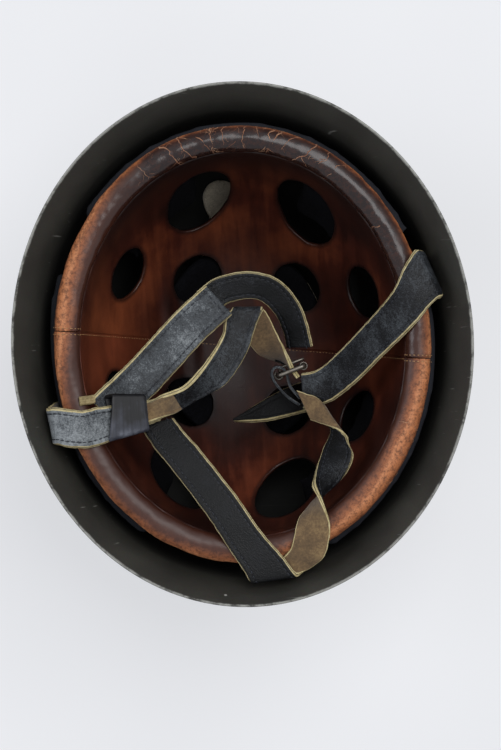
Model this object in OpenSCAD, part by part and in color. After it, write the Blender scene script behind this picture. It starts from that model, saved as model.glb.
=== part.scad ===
// Paratrooper helmet with a leather bonnet, lying upside down with its straps in the bowl.
// The crown stands on z = 0, the opening faces +Z, the forehead is at +Y. Millimetres.

/* [Shell] */
// Length of the rim, front to back, over the steel
rim_length = 283; // [260:1:310]
// Width of the rim, ear to ear, over the steel
rim_width = 249; // [230:1:270]
// Height of the shell from crown to rim plane
shell_height = 160; // [150:1:175]
// Thickness of the steel sheet
sheet = 1.3; // [1:0.1:2]
// How far the brim flares out beyond the wall
flare_out = 12.7; // [8:0.1:20]
// Depth over which the brim flares out
flare_depth = 34; // [28:1:42]
// Depth below the rim at which the wall turns into the dome
dome_start = 26; // [20:1:32]
// Squareness of the dome, where 2 is an ellipse
dome_power = 2.25; // [2.1:0.05:2.6]

/* [Bonnet] */
// Room between the wall of the shell and the inside of the bonnet over the ears
ear_room = 21.5; // [20:0.5:26]
// Room between the wall of the shell and the inside of the bonnet at front and back
brow_room = 22; // [20:0.5:27]
// Depth below the rim plane of the widest level of the bowl
bowl_top = 20; // [18:1:24]
// Depth below the rim plane of the inside of the bonnet at the crown
bowl_bottom = 130; // [120:1:132]
// Thickness of the bonnet leather
leather = 2; // [1.4:0.1:2.6]
// Half width of the padded lip roll, measured across the wall
roll_half_width = 7; // [5:0.25:8]
// Half height of the padded lip roll
roll_half_height = 6; // [5:0.25:7]
// Angle by which the bonnet has crept round in the shell
bonnet_turn = -7.8; // [-12:0.2:0]
// Diameter of the four holes near the crown
crown_hole = 31; // [24:0.5:34]
// Diameter of the four holes over the ears
side_hole = 31; // [24:0.5:33]
// Short diameter of the four large holes at the front and back
end_hole = 37; // [30:0.5:40]
// Length that the large holes gain by being drawn out
end_hole_stretch = 17; // [6:1:20]

/* [Pads] */
// Depth below the rim plane of the upper edge of the wall pads
pad_top = 23; // [22:0.5:28]
// Depth below the rim plane of the lower edge of the wall pads
pad_bottom = 90; // [80:1:96]
// Lower edge of the pad across the forehead
front_pad_bottom = 52; // [44:1:60]
// Free space for the straps between the wall pads and the shell
strap_passage = 4.4; // [4.4:0.1:5]
// Half width of the foam pad under the crown
crown_pad_half_width = 52; // [48:1:60]
// Thickness of the felt under the foam at the crown
felt = 5; // [3:0.5:7]

/* [Straps] */
// Thickness of the two layers of strap leather
strap = 2.7; // [2.2:0.1:2.9]
// Width of the side straps
side_strap_width = 20; // [16:0.5:21]
// Width of the chin strap
chin_strap_width = 22; // [18:0.5:23]
// Width of the neck strap
neck_strap_width = 19; // [16:0.5:20]
// Width of the running strap that goes through the buckle
running_strap_width = 17; // [14:0.5:18]
// Width of the strap that lengthens the chin strap
extension_width = 16; // [13:0.5:17]
// Wall thickness of the leather keeper
keeper_wall = 1.8; // [1.2:0.1:2.2]
// Length of the keeper along the strap
keeper_length = 20.5; // [17:0.5:22]

/* [Metal] */
// Diameter of a rivet head
rivet_head = 9; // [7:0.5:11]
// Diameter of a rivet shank
rivet_shank = 4; // [3:0.25:5]
// Diameter of the buckle wire
buckle_wire = 2.6; // [2:0.1:3]
// Width of the buckle between the middles of its side wires
buckle_width = 22; // [20:0.5:24]
// Length of the buckle between the middles of its end wires
buckle_length = 15; // [13:0.5:18]

/* [Clearance] */
// Space left between leather, foam and steel where they meet
fit = 0.3; // [0.2:0.05:0.4]
// Space at a cut where one strap piece moves against the next
hinge_gap = 0.5; // [0.4:0.1:1]

/* [Hidden] */

steel_green = "#2b2c26";
leather_brown = "#5b2a1a";
lip_brown = "#8a4a2c";
foam_black = "#1c1e22";
felt_cream = "#b0a48c";
strap_black = "#2b2e33";
suede_brown = "#6f6250";
tan_leather = "#b89a6a";
metal_grey = "#8a8480";

round_sides = 72;
bowl_sides = 72;
big = 400;

// Half width and half length of the inside of the wall below the flare
wall_half_width = rim_width / 2 - sheet - flare_out;
wall_half_length = rim_length / 2 - sheet - flare_out;

// Half width and half length of the bowl of the bonnet at its mouth, inside the leather
bowl_half_width = wall_half_width - ear_room;
bowl_half_length = wall_half_length - brow_room;
flare_power = 1.7;
crown_angle = 84;

// Share of the full wall size that the dome keeps at an angle from 0 at the wall to 90 at the pole
function dome_reach(angle) = pow(cos(angle), 2 / dome_power);
function dome_depth(angle) = pow(sin(angle), 2 / dome_power);

// Angle of the dome at a depth below the rim, for a dome that is this deep
function dome_angle(depth, bottom) =
    let (share = min(max((depth - dome_start) / (bottom - dome_start), 0), 1))
    asin(min(pow(share * dome_depth(crown_angle), dome_power / 2), 1));

function flare(depth) = depth < flare_depth ? flare_out * pow(1 - depth / flare_depth, flare_power) : 0;

// Half sizes of the inside of the shell at a depth below the rim plane
inner_bottom = shell_height - sheet;
function inner_reach(depth) = dome_reach(dome_angle(depth, inner_bottom));
function wall_x(depth) = wall_half_width * inner_reach(depth) + flare(depth);
function wall_y(depth) = wall_half_length * inner_reach(depth) + flare(depth);

// Half sizes of the outside of the shell
function outer_reach(depth) = dome_reach(dome_angle(depth, shell_height));
function outer_x(depth) = (wall_half_width + sheet) * outer_reach(depth) + flare(depth);
function outer_y(depth) = (wall_half_length + sheet) * outer_reach(depth) + flare(depth);

// Half sizes of the bonnet, with a skin of this thickness outside its inner face
bowl_deep = bowl_bottom - bowl_top;
function bowl_reach(depth, skin) =
    let (share = (depth - bowl_top) / (bowl_deep + skin))
    sqrt(max(1 - share * share, 0));
function bowl_x(depth, skin) = (bowl_half_width + skin) * bowl_reach(depth, skin);
function bowl_y(depth, skin) = (bowl_half_length + skin) * bowl_reach(depth, skin);

// Point on an oval of these half sizes, in a direction measured as a true angle from +X
function oval(angle, half_x, half_y, depth) =
    let (size = 1 / norm([cos(angle) / half_x, sin(angle) / half_y]))
    [size * cos(angle), size * sin(angle), shell_height - depth];

function wall_point(angle, depth, inset) =
    oval(angle, wall_x(depth) - inset, wall_y(depth) - inset, depth);
function bowl_point(angle, depth, skin) =
    oval(angle, bowl_x(depth, skin), bowl_y(depth, skin), depth);

// Depths at which the shell and the bowl get a ring of points
brim_depths = [-2, 2, 6, 10, 15, 20, dome_start, 32, 40, 52];
dome_angles = [19, 26, 32, 38, 44, 50, 56, 62, 68, 74, 79, crown_angle];
function dome_ring_depth(angle, bottom) =
    dome_start + (bottom - dome_start) * dome_depth(angle) / dome_depth(crown_angle);
function ring_depths(bottom) = concat(brim_depths, [for (a = dome_angles) dome_ring_depth(a, bottom)]);
bowl_angles = [6, 14, 22, 30, 38, 46, 54, 62, 70, 80];

// Unit vector, and one turned square to another
function unit(v) = v / norm(v);
function square_to(v, along) = unit(v - along * (v * along));

// Points between hand chosen stations, on a smooth curve through all of them
function between(p0, p1, p2, p3, t) =
    0.5 * (2 * p1 + (p2 - p0) * t + (2 * p0 - 5 * p1 + 4 * p2 - p3) * t * t
        + (3 * p1 - p0 - 3 * p2 + p3) * t * t * t);
function smooth(list, steps) =
    let (last = len(list) - 1)
    concat(
        [for (i = [0:last - 1], k = [0:steps - 1])
            between(list[max(i - 1, 0)], list[i], list[i + 1], list[min(i + 2, last)], k / steps)],
        [list[last]]);

function tangent(path, i) =
    unit(path[min(i + 1, len(path) - 1)] - path[max(i - 1, 0)]);

// Closed skin round rings of points that all hold the same number of points
module loft(rings) {
    sides = len(rings[0]);
    count = len(rings);
    points = [for (ring = rings) each ring];
    walls = [for (i = [0:count - 2], j = [0:sides - 1])
        let (k = (j + 1) % sides, a = i * sides, b = a + sides)
        each [[a + j, b + j, b + k], [a + j, b + k, a + k]]];
    first = [[for (j = [0:sides - 1]) j]];
    last = [[for (j = [sides - 1:-1:0]) (count - 1) * sides + j]];
    polyhedron(points = points, faces = concat(walls, first, last));
}

// Flat strap along a path: each station has a centre and a direction across the strap.
// A folded strap is slanted: its cross lines keep their own direction and length there.
module ribbon(path, across, width, thick, steps = 3, taper = [], slanted = false) {
    centres = smooth(path, steps);
    sides = smooth(across, steps);
    widths = len(taper) > 0 ? smooth(taper, steps) : [];
    rings = [for (i = [0:len(centres) - 1])
        let (
            along = tangent(centres, i),
            line = slanted ? sides[i] : square_to(sides[i], along),
            side = line * (len(widths) > 0 ? widths[i] : 1) * width / 2,
            face = unit(cross(along, side)) * thick / 2)
        [centres[i] - side - face, centres[i] + side - face,
            centres[i] + side + face, centres[i] - side + face]];
    loft(rings);
}

// Solid between two curved faces that share their grid of angles and depths
module slab(outer, inner) {
    rows = len(outer);
    cols = len(outer[0]);
    size = rows * cols;
    points = concat([for (row = outer) each row], [for (row = inner) each row]);
    faces = [for (i = [0:rows - 2], j = [0:cols - 2])
        let (a = i * cols + j, b = a + cols)
        each [[a, a + 1, b + 1], [a, b + 1, b], [size + a, size + b + 1, size + a + 1],
            [size + a, size + b, size + b + 1]]];
    left = [for (i = [0:rows - 2])
        let (a = i * cols, b = a + cols)
        each [[a, b, size + b], [a, size + b, size + a]]];
    right = [for (i = [0:rows - 2])
        let (a = i * cols + cols - 1, b = a + cols)
        each [[a, size + b, b], [a, size + a, size + b]]];
    top = [for (j = [0:cols - 2]) each [[j, size + j, size + j + 1], [j, size + j + 1, j + 1]]];
    low = (rows - 1) * cols;
    bottom = [for (j = [0:cols - 2])
        let (a = low + j)
        each [[a, size + a + 1, size + a], [a, a + 1, size + a + 1]]];
    polyhedron(points = points, faces = concat(faces, left, right, top, bottom));
}

// Closed bowl wall between outer rings and inner rings that go from the mouth to the crown
module bowl_wall(outer, inner) {
    sides = len(outer[0]);
    count = len(outer);
    points = concat([for (ring = outer) each ring], [for (ring = inner) each ring]);
    size = sides * count;
    skins = [for (i = [0:count - 2], j = [0:sides - 1])
        let (k = (j + 1) % sides, a = i * sides, b = a + sides)
        each [[a + j, b + k, b + j], [a + j, a + k, b + k],
            [size + a + j, size + b + j, size + b + k], [size + a + j, size + b + k, size + a + k]]];
    mouth = [for (j = [0:sides - 1])
        let (k = (j + 1) % sides)
        each [[j, size + j, size + k], [j, size + k, k]]];
    low = (count - 1) * sides;
    crown = [[for (j = [0:sides - 1]) low + j], [for (j = [sides - 1:-1:0]) size + low + j]];
    polyhedron(points = points, faces = concat(skins, mouth, crown));
}

// Shell

strap_angles = [17.5, 199];
rivet_depths = [44, 58];

// Stands a shape on the inside of the wall, its +Z pointing into the helmet
module on_wall(angle, depth) {
    at = wall_point(angle, depth, 0);
    level = atan2(at[1] / pow(wall_y(depth), 2), at[0] / pow(wall_x(depth), 2));
    step = 2;
    lean = atan2(wall_x(depth - step) - wall_x(depth + step), 2 * step);
    translate(at)
        rotate([0, 0, level])
            rotate([0, -90 + lean, 0])
                children();
}

module shell() {
    depths_out = ring_depths(shell_height);
    depths_in = ring_depths(inner_bottom);
    outer = [for (d = depths_out)
        [for (j = [0:round_sides - 1]) oval(j * 360 / round_sides, outer_x(d), outer_y(d), d)]];
    inner = [for (d = depths_in)
        [for (j = [0:round_sides - 1]) oval(j * 360 / round_sides, wall_x(d), wall_y(d), d)]];
    color(steel_green)
        difference() {
            bowl_wall(outer, inner);
            translate([-big / 2, -big / 2, shell_height])
                cube([big, big, big]);
            for (angle = strap_angles, depth = rivet_depths)
                on_wall(angle, depth)
                    translate([0, 0, -10])
                        cylinder(d = rivet_shank + 2 * fit, h = 20, $fn = 32);
        }
}

// Bonnet

roll_depth = bowl_top - 4;
roll_x = bowl_half_width + roll_half_width - 0.2;
roll_y = bowl_half_length + roll_half_width - 0.2;
bowl_rim = bowl_top + 1;

crown_hole_at = [30, 37];
side_hole_at = [69, 36];
end_hole_at = [32, 82];
end_hole_lean = 28;

// Stands a shape across the bowl at a place in plan, its +Z pointing into the bowl
module on_bowl(place) {
    share = sqrt(1 - pow(place[0] / bowl_half_width, 2) - pow(place[1] / bowl_half_length, 2));
    normal = [place[0] / pow(bowl_half_width, 2), place[1] / pow(bowl_half_length, 2), -share / bowl_deep];
    heading = atan2(normal[1], normal[0]);
    tilt = atan2(norm([normal[0], normal[1]]), -normal[2]);
    translate([place[0], place[1], shell_height - bowl_top - bowl_deep * share])
        rotate([0, 0, heading])
            rotate([0, -tilt, 0])
                children();
}

module bonnet_holes() {
    cut = 24;
    for (sx = [-1, 1], sy = [-1, 1]) {
        on_bowl([sx * crown_hole_at[0], sy * crown_hole_at[1]])
            cylinder(d = crown_hole, h = cut, center = true, $fn = 48);
        on_bowl([sx * side_hole_at[0], sy * side_hole_at[1]])
            cylinder(d = side_hole, h = cut, center = true, $fn = 48);
        on_bowl([sx * end_hole_at[0], sy * end_hole_at[1]])
            rotate([0, 0, sx * sy * end_hole_lean])
                stretched_hole(end_hole, end_hole_stretch, cut);
    }
}

module stretched_hole(size, stretch, cut) {
    for (s = [-1, 1])
        translate([s * stretch / 2, 0, 0])
            cylinder(d = size, h = cut, center = true, $fn = 48);
    cube([stretch, size, cut], center = true);
}

module bonnet() {
    depths = concat([bowl_rim], [for (a = bowl_angles) bowl_top + bowl_deep * sin(a)]);
    outer = [for (d = depths)
        let (deeper = d > bowl_rim ? d + leather * (d - bowl_top) / bowl_deep : d)
        [for (j = [0:bowl_sides - 1]) bowl_point(j * 360 / bowl_sides, deeper, leather)]];
    inner = [for (d = depths)
        [for (j = [0:bowl_sides - 1]) bowl_point(j * 360 / bowl_sides, d, 0)]];
    difference() {
        bowl_wall(outer, inner);
        rotate([0, 0, bonnet_turn])
            bonnet_holes();
    }
}

seam_gap = 0.1;

// Half space in front of the ear to ear seam, or behind it
module seam_half(front) {
    rotate([0, 0, bonnet_turn])
        translate([-big / 2, front ? seam_gap / 2 : -big - seam_gap / 2, -big / 2])
            cube([big, big, big]);
}

module liner_front_panel() {
    color(leather_brown)
        intersection() {
            bonnet();
            seam_half(true);
        }
}

module liner_rear_panel() {
    color(leather_brown)
        intersection() {
            bonnet();
            seam_half(false);
        }
}

// Half of the padded roll round the mouth of the bonnet
module lip_roll(start) {
    steps = 26;
    sides = 12;
    rings = [for (i = [0:steps])
        let (
            angle = start + 0.1 + 179.8 * i / steps,
            centre = oval(angle, roll_x, roll_y, roll_depth),
            out = unit([centre[0] / pow(roll_x, 2), centre[1] / pow(roll_y, 2), 0]))
        [for (j = [0:sides - 1])
            centre + out * roll_half_width * cos(j * 360 / sides)
                + [0, 0, roll_half_height * sin(j * 360 / sides)]]];
    loft(rings);
}

module lip_roll_front() {
    color(lip_brown)
        lip_roll(bonnet_turn);
}

module lip_roll_rear() {
    color(lip_brown)
        lip_roll(bonnet_turn + 180);
}

// Pads

// Distance of a pad from the steel: room for the straps high up, seated on the wall low down
seat_depth = 84;
seat_run = 12;
seat_space = 0.7;
function pad_inset(depth) = depth < seat_depth - seat_run ? strap_passage
    : depth > seat_depth ? seat_space
    : seat_space + (strap_passage - seat_space) * (seat_depth - depth) / seat_run;

module wall_pad(from, to, top, bottom, columns) {
    rows = 7;
    angles = [for (j = [0:columns]) bonnet_turn + from + (to - from) * j / columns];
    depths = [for (i = [0:rows]) top + (bottom - top) * i / rows];
    outer = [for (d = depths) [for (a = angles) wall_point(a, d, pad_inset(d))]];
    inner = [for (d = depths) [for (a = angles) bowl_point(a, d, leather + seat_space)]];
    slab(outer, inner);
}

front_pad_span = [38, 146];
front_leg_span = [38, 74];
side_pad_span = [-64, 18];

module front_pad() {
    color(foam_black)
        wall_pad(front_pad_span[0], front_pad_span[1], pad_top, front_pad_bottom, 16);
}

module front_right_pad() {
    color(foam_black)
        wall_pad(front_leg_span[0], front_leg_span[1], front_pad_bottom + fit, pad_bottom, 7);
}

module front_left_pad() {
    color(foam_black)
        wall_pad(180 - front_leg_span[1] + 4, 180 - front_leg_span[0] + 4,
            front_pad_bottom + fit, pad_bottom, 7);
}

module right_pad() {
    color(foam_black)
        wall_pad(side_pad_span[0], side_pad_span[1], pad_top, pad_bottom, 13);
}

module left_pad() {
    pocket = [34, side_strap_width + 4, 4.5];
    color(foam_black)
        difference() {
            wall_pad(180 - side_pad_span[1], 180 - side_pad_span[0] + 4, pad_top, pad_bottom, 13);
            on_wall(strap_angles[1], (rivet_depths[0] + rivet_depths[1]) / 2)
                translate([-pocket[0] / 2, -pocket[1] / 2, strap_passage - 1])
                    cube(pocket);
        }
}

crown_pad_half_length = crown_pad_half_width * bowl_half_length / bowl_half_width;

// Depth of the faces of the crown pad at a share of its own radius
function under_bonnet(share) =
    let (
        skin = leather + seat_space,
        x = share * min(crown_pad_half_width / (bowl_half_width + skin),
            crown_pad_half_length / (bowl_half_length + skin)))
    bowl_top + (bowl_deep + leather + seat_space) * sqrt(1 - x * x);
function above_shell(share) =
    let (
        x = share * max(crown_pad_half_width / wall_half_width, crown_pad_half_length / wall_half_length),
        a = acos(pow(x, dome_power / 2)))
    dome_ring_depth(min(a, crown_angle), inner_bottom);

// Round pad between two depths that change with the share of its radius
module round_pad(tops, bottoms, shares, half_x, half_y) {
    sides = 36;
    rings = concat(
        [for (i = [0:len(shares) - 1])
            [for (j = [0:sides - 1])
                oval(j * 360 / sides, half_x * shares[i], half_y * shares[i], tops[i])]],
        [for (i = [len(shares) - 1:-1:0])
            [for (j = [0:sides - 1])
                oval(j * 360 / sides, half_x * shares[i], half_y * shares[i], bottoms[i])]]);
    loft(rings);
}

pad_shares = [0.12, 0.35, 0.55, 0.7, 0.82, 0.92, 1];
felt_slack = 1.3;

module crown_pad() {
    color(foam_black)
        round_pad([for (s = pad_shares) under_bonnet(s)],
            [for (s = pad_shares) above_shell(s) - felt - felt_slack - fit],
            pad_shares, crown_pad_half_width, crown_pad_half_length);
}

module crown_felt() {
    color(felt_cream)
        round_pad([for (s = pad_shares) above_shell(s) - felt - felt_slack],
            [for (s = pad_shares) above_shell(s) - felt_slack],
            pad_shares, crown_pad_half_width, crown_pad_half_length);
}

patch_inset = 1.6;

module felt_patch() {
    angles = [88, 92.5, 97, 101.5, 106];
    depths = [for (rise = [44.7, 38.7, 32.7, 26.7, 20.7]) inner_bottom - rise];
    color(felt_cream)
        slab([for (d = depths) [for (a = angles) wall_point(a, d, patch_inset)]],
            [for (d = depths) [for (a = angles) wall_point(a, d, patch_inset + felt)]]);
}

// Strap routes: centres and directions across, chosen along the straps in the bowl

// The stations are given for the shell as drawn. With other sizes they keep their share of its
// width and length, and their distance from the rim plane.
drawn_wall = [110.5, 127.5];
drawn_height = 160;
function in_shell(p) = [
    p[0] * wall_half_width / drawn_wall[0], p[1] * wall_half_length / drawn_wall[1],
    p[2] + shell_height - drawn_height
];
function all_in_shell(list) = [for (p = list) in_shell(p)];

// Place of the left strap under the keeper, and its own axes there
knot = in_shell([-64, -35.8, 141.8]);
knot_along = unit([10, 2, -4.5]);
knot_across = unit([2, -10, 0]);
knot_up = cross(knot_across, knot_along);
function at_knot(s, u, v) = knot + knot_along * s + knot_across * u + knot_up * v;

// Stands a shape at the knot, with +X along the strap, +Y to its rear edge and +Z up
module knot_frame() {
    a = knot_along;
    b = knot_across;
    c = knot_up;
    multmatrix([[a[0], -b[0], c[0], knot[0]], [a[1], -b[1], c[1], knot[1]], [a[2], -b[2], c[2], knot[2]]])
        children();
}

side_path = [
    in_shell([-102, -38, 153.5]), in_shell([-95, -39.5, 155]), in_shell([-88, -40.4, 153.3]),
    at_knot(-17.8, 0, 0.3),
    at_knot(-10, 0, 0), at_knot(0, 0, 0), at_knot(8, 0, 0), at_knot(17, 0, 0)
];
side_across = [
    [0.1, -1, 0], [0.1, -1, 0.03], [0.1, -1, 0.05], [0.2, -1, 0], [0.2, -1, 0], [0.2, -1, 0],
    [0.2, -1, 0], [0.2, -1, 0]
];

neck_root_path = all_in_shell([[-47.5, -43.8, 132.6], [-45.2, -47.3, 134], [-42.8, -50.7, 135.65]]);
neck_root_across = [[0.98, 0.2, 0], [0.92, 0.3, 0], [0.87, 0.42, 0]];

neck_path = all_in_shell([
    [-42, -51.9, 136.2], [-34, -62, 140.8], [-17, -86, 149.2], [-5, -106, 152.5],
    [4, -119, 153.6], [9, -127, 152.7], [14, -125, 149.4], [22, -120, 149.6], [28, -114.5, 152.2],
    [31, -106.5, 153], [33, -98, 150.6], [35, -91, 148.2], [37.5, -85, 145], [41, -79, 141],
    [45, -72, 134], [49, -63, 126], [51, -55.5, 119]
]);
neck_across = [
    [0.87, 0.42, 0], [0.84, 0.5, 0], [0.84, 0.52, 0], [0.9, 0.5, 0],
    [1.1, 0.35, 0], [1.3, 0.15, 0], [1.25, 0, 0], [1.05, -0.15, 0], [0.97, -0.2, 0],
    [0.97, -0.15, 0.1], [0.85, -0.1, 0.5], [0.4, 0, 0.9], [-0.1, 0, 1], [-0.75, 0, 0.65],
    [-0.98, -0.05, 0.1], [-0.85, 0.15, -0.5], [-0.45, 0.3, -0.84]
];

wrap_path = all_in_shell([
    [50.25, -51.2, 114.2], [48, -45.9, 111.1], [43.5, -41, 108.2], [38, -38.5, 105.6], [33, -36.5, 103.1]
]);
wrap_across = [
    [-0.45, 0.35, -0.82], [-0.35, 0.65, -0.65], [-0.3, 0.85, -0.4], [-0.35, 0.88, -0.25], [-0.35, 0.88, -0.25]
];

right_path = all_in_shell([
    [101, 31.7, 154], [95.5, 25.5, 155.3], [90, 17, 153.6], [82.5, 8.5, 146.5], [71, -3, 132.5],
    [59, -15, 117.5], [48, -24, 105.5], [40, -27.5, 100.5], [32.5, -28.5, 98.5]
]);
right_across = [
    [0.55, -1.3, 0], [0.6, -1.1, 0], [0.62, -0.85, 0.08], [0.6, -0.78, 0.2], [0.55, -0.76, 0.25],
    [0.5, -0.8, 0.25], [0.3, -0.92, 0.15], [0.1, -0.98, 0], [0, -1, 0]
];

tail_path = all_in_shell([[42, -30, 92.5], [34, -32, 86], [24, -35, 78.8], [8, -40, 74], [-8, -44, 70]]);
tail_across = [[0, -1, 0], [0.1, -0.98, 0.1], [0.2, -0.92, 0.2], [0.25, -0.9, 0.3], [0.25, -0.9, 0.35]];
tail_taper = [0.9, 0.9, 0.85, 0.6, 0.08];

root_path = [
    at_knot(-12, -5.3, -5.7), at_knot(-5, -9, -6), at_knot(4, -13.5, -6.2), at_knot(14.3, -19.1, -5.6)
];
root_across = [
    knot_along * 0.42 + knot_across * 0.91, knot_along * 0.42 + knot_across * 0.91,
    knot_along * 0.48 + knot_across * 0.86, [0.78, -0.63, 0]
];

chin_path = all_in_shell([[-56, -14, 130.8], [-43, -1.5, 126.5], [-28, 13, 122], [-12, 26, 118.5]]);
chin_across = [[0.78, -0.63, 0], [0.78, -0.63, 0], [0.76, -0.65, 0], [0.72, -0.7, 0]];

extension_path = all_in_shell([
    [-19, 24.8, 114], [-12, 30, 113.4], [-4, 32.5, 113.2], [7.5, 33, 112.5], [18, 28.8, 110.2],
    [26, 19, 106], [30.5, 7, 100.5], [32, -3, 96.5]
]);
extension_across = [
    [0.6, -0.78, -0.1], [0.5, -0.85, -0.2], [0.3, -0.9, -0.3], [-0.05, -0.92, -0.38], [-0.5, -0.76, -0.4],
    [-0.76, -0.5, -0.45], [-0.82, -0.2, -0.55], [-0.85, -0.2, -0.5]
];

end_path = [
    at_knot(-6, 0, strap + 2.2 * fit), at_knot(3, 0, strap + 2.2 * fit), at_knot(11.5, 0, strap + 3 * fit),
    at_knot(17.5, -1, 8.2), in_shell([-40.5, -29.3, 139.2]), in_shell([-30.5, -25, 131.5])
];
end_across = [
    [0.2, -1, 0], [0.2, -1, 0], [0.2, -1, 0], [0.25, -0.85, -0.42], [0.27, -0.6, -0.75],
    [0.27, -0.5, -0.82]
];

running_path = all_in_shell([
    [-29.6, -24.4, 130.7], [-16, -15, 121.5], [-5, 0, 115.5], [-1, 11.5, 113.2], [2.6, 18.4, 112.4],
    [4, 20, 110.2], [4.8, 18.3, 107.8], [8, 10.5, 105.4], [14.2, -0.6, 101.5],
    [18.8, -5.2, 98.2], [23.6, -10.2, 94.5], [27.8, -16, 91.5], [30.4, -20.6, 90.8]
]);
running_across = [
    [0.27, -0.5, -0.82], [0.56, -0.78, -0.25], [0.76, -0.62, -0.1], [0.95, -0.4, 0], [1.02, -0.15, 0],
    [1.02, -0.05, 0], [1, 0.1, 0], [0.95, 0.4, 0.05], [0.78, 0.4, 0.4],
    [0.5, 0.35, 0.75], [0.2, 0.12, 0.97], [0, 0, 1], [0, 0, 1]
];

buckle_at = in_shell([26.8, -16.4, 91]);
chape_path = [for (p = [[3.6, -20], [-3.4, -14.6], [-9.2, -7.1], [-11.2, -1.4], [-9.4, 2.2],
    [-5.4, 2], [-2.8, -1.6], [-1, -9.1], [4.1, -16.2]]) buckle_at + [p[0], p[1], 1]];
chape_across = [for (p = chape_path) [0, 0, 1]];
chape_thick = 1.6;
chape_width = 12;

tab_path = all_in_shell([[-90, -25.2, 151.15], [-86.2, -24.9, 149.05], [-82.2, -24.5, 146.65]]);
tab_across = [for (p = tab_path) [0.1, -1, 0]];

// Fixed ends of the side straps, between pads and shell

// Space behind the middle of a strap, so that its edges clear the curved steel
wall_space = 1.1;

function wall_run(angle) =
    [for (d = [66, 52, 40, 30]) wall_point(angle, d, strap / 2 + wall_space)];

left_root_bend = all_in_shell([[-105.8, -37.2, 141], [-106.2, -37.8, 147], [-105.2, -38, 150.6]]);
left_root_across = [
    [0.25, -0.97, 0], [0.25, -0.97, 0], [0.25, -0.97, 0], [0.25, -0.97, 0],
    [0.22, -0.97, 0], [0.15, -1, 0], [0.1, -1, 0]
];
right_root_bend = all_in_shell([[104.8, 33, 141], [104.8, 32.6, 147], [103.6, 32.3, 150.9]]);
right_root_across = [
    [0.23, -0.97, 0], [0.23, -0.97, 0], [0.23, -0.97, 0], [0.23, -0.97, 0],
    [0.35, -1.05, 0], [0.45, -1.2, 0], [0.55, -1.3, 0]
];

module strap_root(path, across, angle) {
    difference() {
        ribbon(path, across, side_strap_width, strap, 2, slanted = true);
        for (depth = rivet_depths)
            on_wall(angle, depth)
                translate([0, 0, -5])
                    cylinder(d = rivet_shank + 2 * fit, h = 14, $fn = 32);
    }
}

module left_strap_root() {
    color(strap_black)
        strap_root(concat(wall_run(strap_angles[1]), left_root_bend), left_root_across, strap_angles[1]);
}

module right_strap_root() {
    color(strap_black)
        strap_root(concat(wall_run(strap_angles[0]), right_root_bend), right_root_across, strap_angles[0]);
}

// Rivets: a low dome outside the shell, a shank through shell and strap, a washer inside
washer = 1;
washer_rise = wall_space + strap + 0.5;
rivet_dome = 2.2;

module dome_cap(diameter, height) {
    radius = (diameter * diameter / 4 + height * height) / (2 * height);
    intersection() {
        translate([0, 0, height - radius])
            sphere(r = radius, $fn = 48);
        cylinder(d = diameter + 1, h = height + 1, $fn = 48);
    }
}

module strap_rivets() {
    reach = washer_rise + washer + 0.8;
    color(metal_grey)
        for (angle = strap_angles, depth = rivet_depths)
            on_wall(angle, depth) {
                translate([0, 0, -sheet - fit - 0.6])
                    rotate([180, 0, 0])
                        dome_cap(rivet_head, rivet_dome);
                translate([0, 0, -sheet - fit - 0.6])
                    cylinder(d = rivet_head, h = 0.6, $fn = 48);
                translate([0, 0, -sheet - fit - 0.3])
                    cylinder(d = rivet_shank, h = sheet + fit + 0.3 + reach, $fn = 32);
            }
}

module strap_washers() {
    color(metal_grey)
        for (angle = strap_angles, depth = rivet_depths)
            on_wall(angle, depth)
                translate([0, 0, washer_rise])
                    difference() {
                        cylinder(d = rivet_head, h = washer, $fn = 48);
                        translate([0, 0, -1])
                            cylinder(d = rivet_shank + fit, h = washer + 2, $fn = 32);
                    }
}

// Straps that lie in the bowl

module left_side_strap() {
    color(strap_black)
        ribbon(side_path, side_across, side_strap_width, strap);
}

module right_side_strap() {
    color(strap_black)
        ribbon(right_path, right_across, side_strap_width, strap, slanted = true);
}

module right_strap_tail() {
    color(strap_black)
        ribbon(tail_path, tail_across, neck_strap_width, strap, 3, tail_taper);
}

module chin_strap_root() {
    color(strap_black)
        ribbon(root_path, root_across, chin_strap_width, strap);
}

tab_thick = 1.4;
tab_width = 4.5;

module leather_tab() {
    color(tan_leather)
        ribbon(tab_path, tab_across, tab_width, tab_thick);
}

module running_strap_end() {
    color(suede_brown)
        ribbon(end_path, end_across, running_strap_width, strap, slanted = true);
}

// Closed leather loop that slides on the left strap

module rounded_box(x, y, corner) {
    square([x - 2 * corner, y], center = true);
    square([x, y - 2 * corner], center = true);
    for (sx = [-1, 1], sy = [-1, 1])
        translate([sx * (x / 2 - corner), sy * (y / 2 - corner)])
            circle(r = corner, $fn = 32);
}

keeper_start = -10.4;

module strap_keeper() {
    inner_wide = side_strap_width + 4 * fit;
    inner_high = 2 * strap + 6 * fit;
    middle = (strap + 2 * fit) / 2;
    color(strap_black)
        knot_frame()
            translate([keeper_start, 0, middle])
                rotate([90, 0, 90])
                    linear_extrude(height = keeper_length)
                        difference() {
                            rounded_box(inner_wide + 2 * keeper_wall, inner_high + 2 * keeper_wall, 2.2);
                            rounded_box(inner_wide, inner_high, 0.3);
                        }
}

module neck_strap_root() {
    color(strap_black)
        ribbon(neck_root_path, neck_root_across, neck_strap_width, strap, slanted = true);
}

module neck_strap() {
    color(strap_black)
        ribbon(neck_path, neck_across, neck_strap_width, strap, slanted = true);
}

module neck_strap_wrap() {
    color(suede_brown)
        ribbon(wrap_path, wrap_across, neck_strap_width, strap, slanted = true);
}

module chin_strap() {
    color(strap_black)
        ribbon(chin_path, chin_across, chin_strap_width, strap);
}

module chin_strap_extension() {
    color(strap_black)
        ribbon(extension_path, extension_across, extension_width, strap);
}

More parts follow.
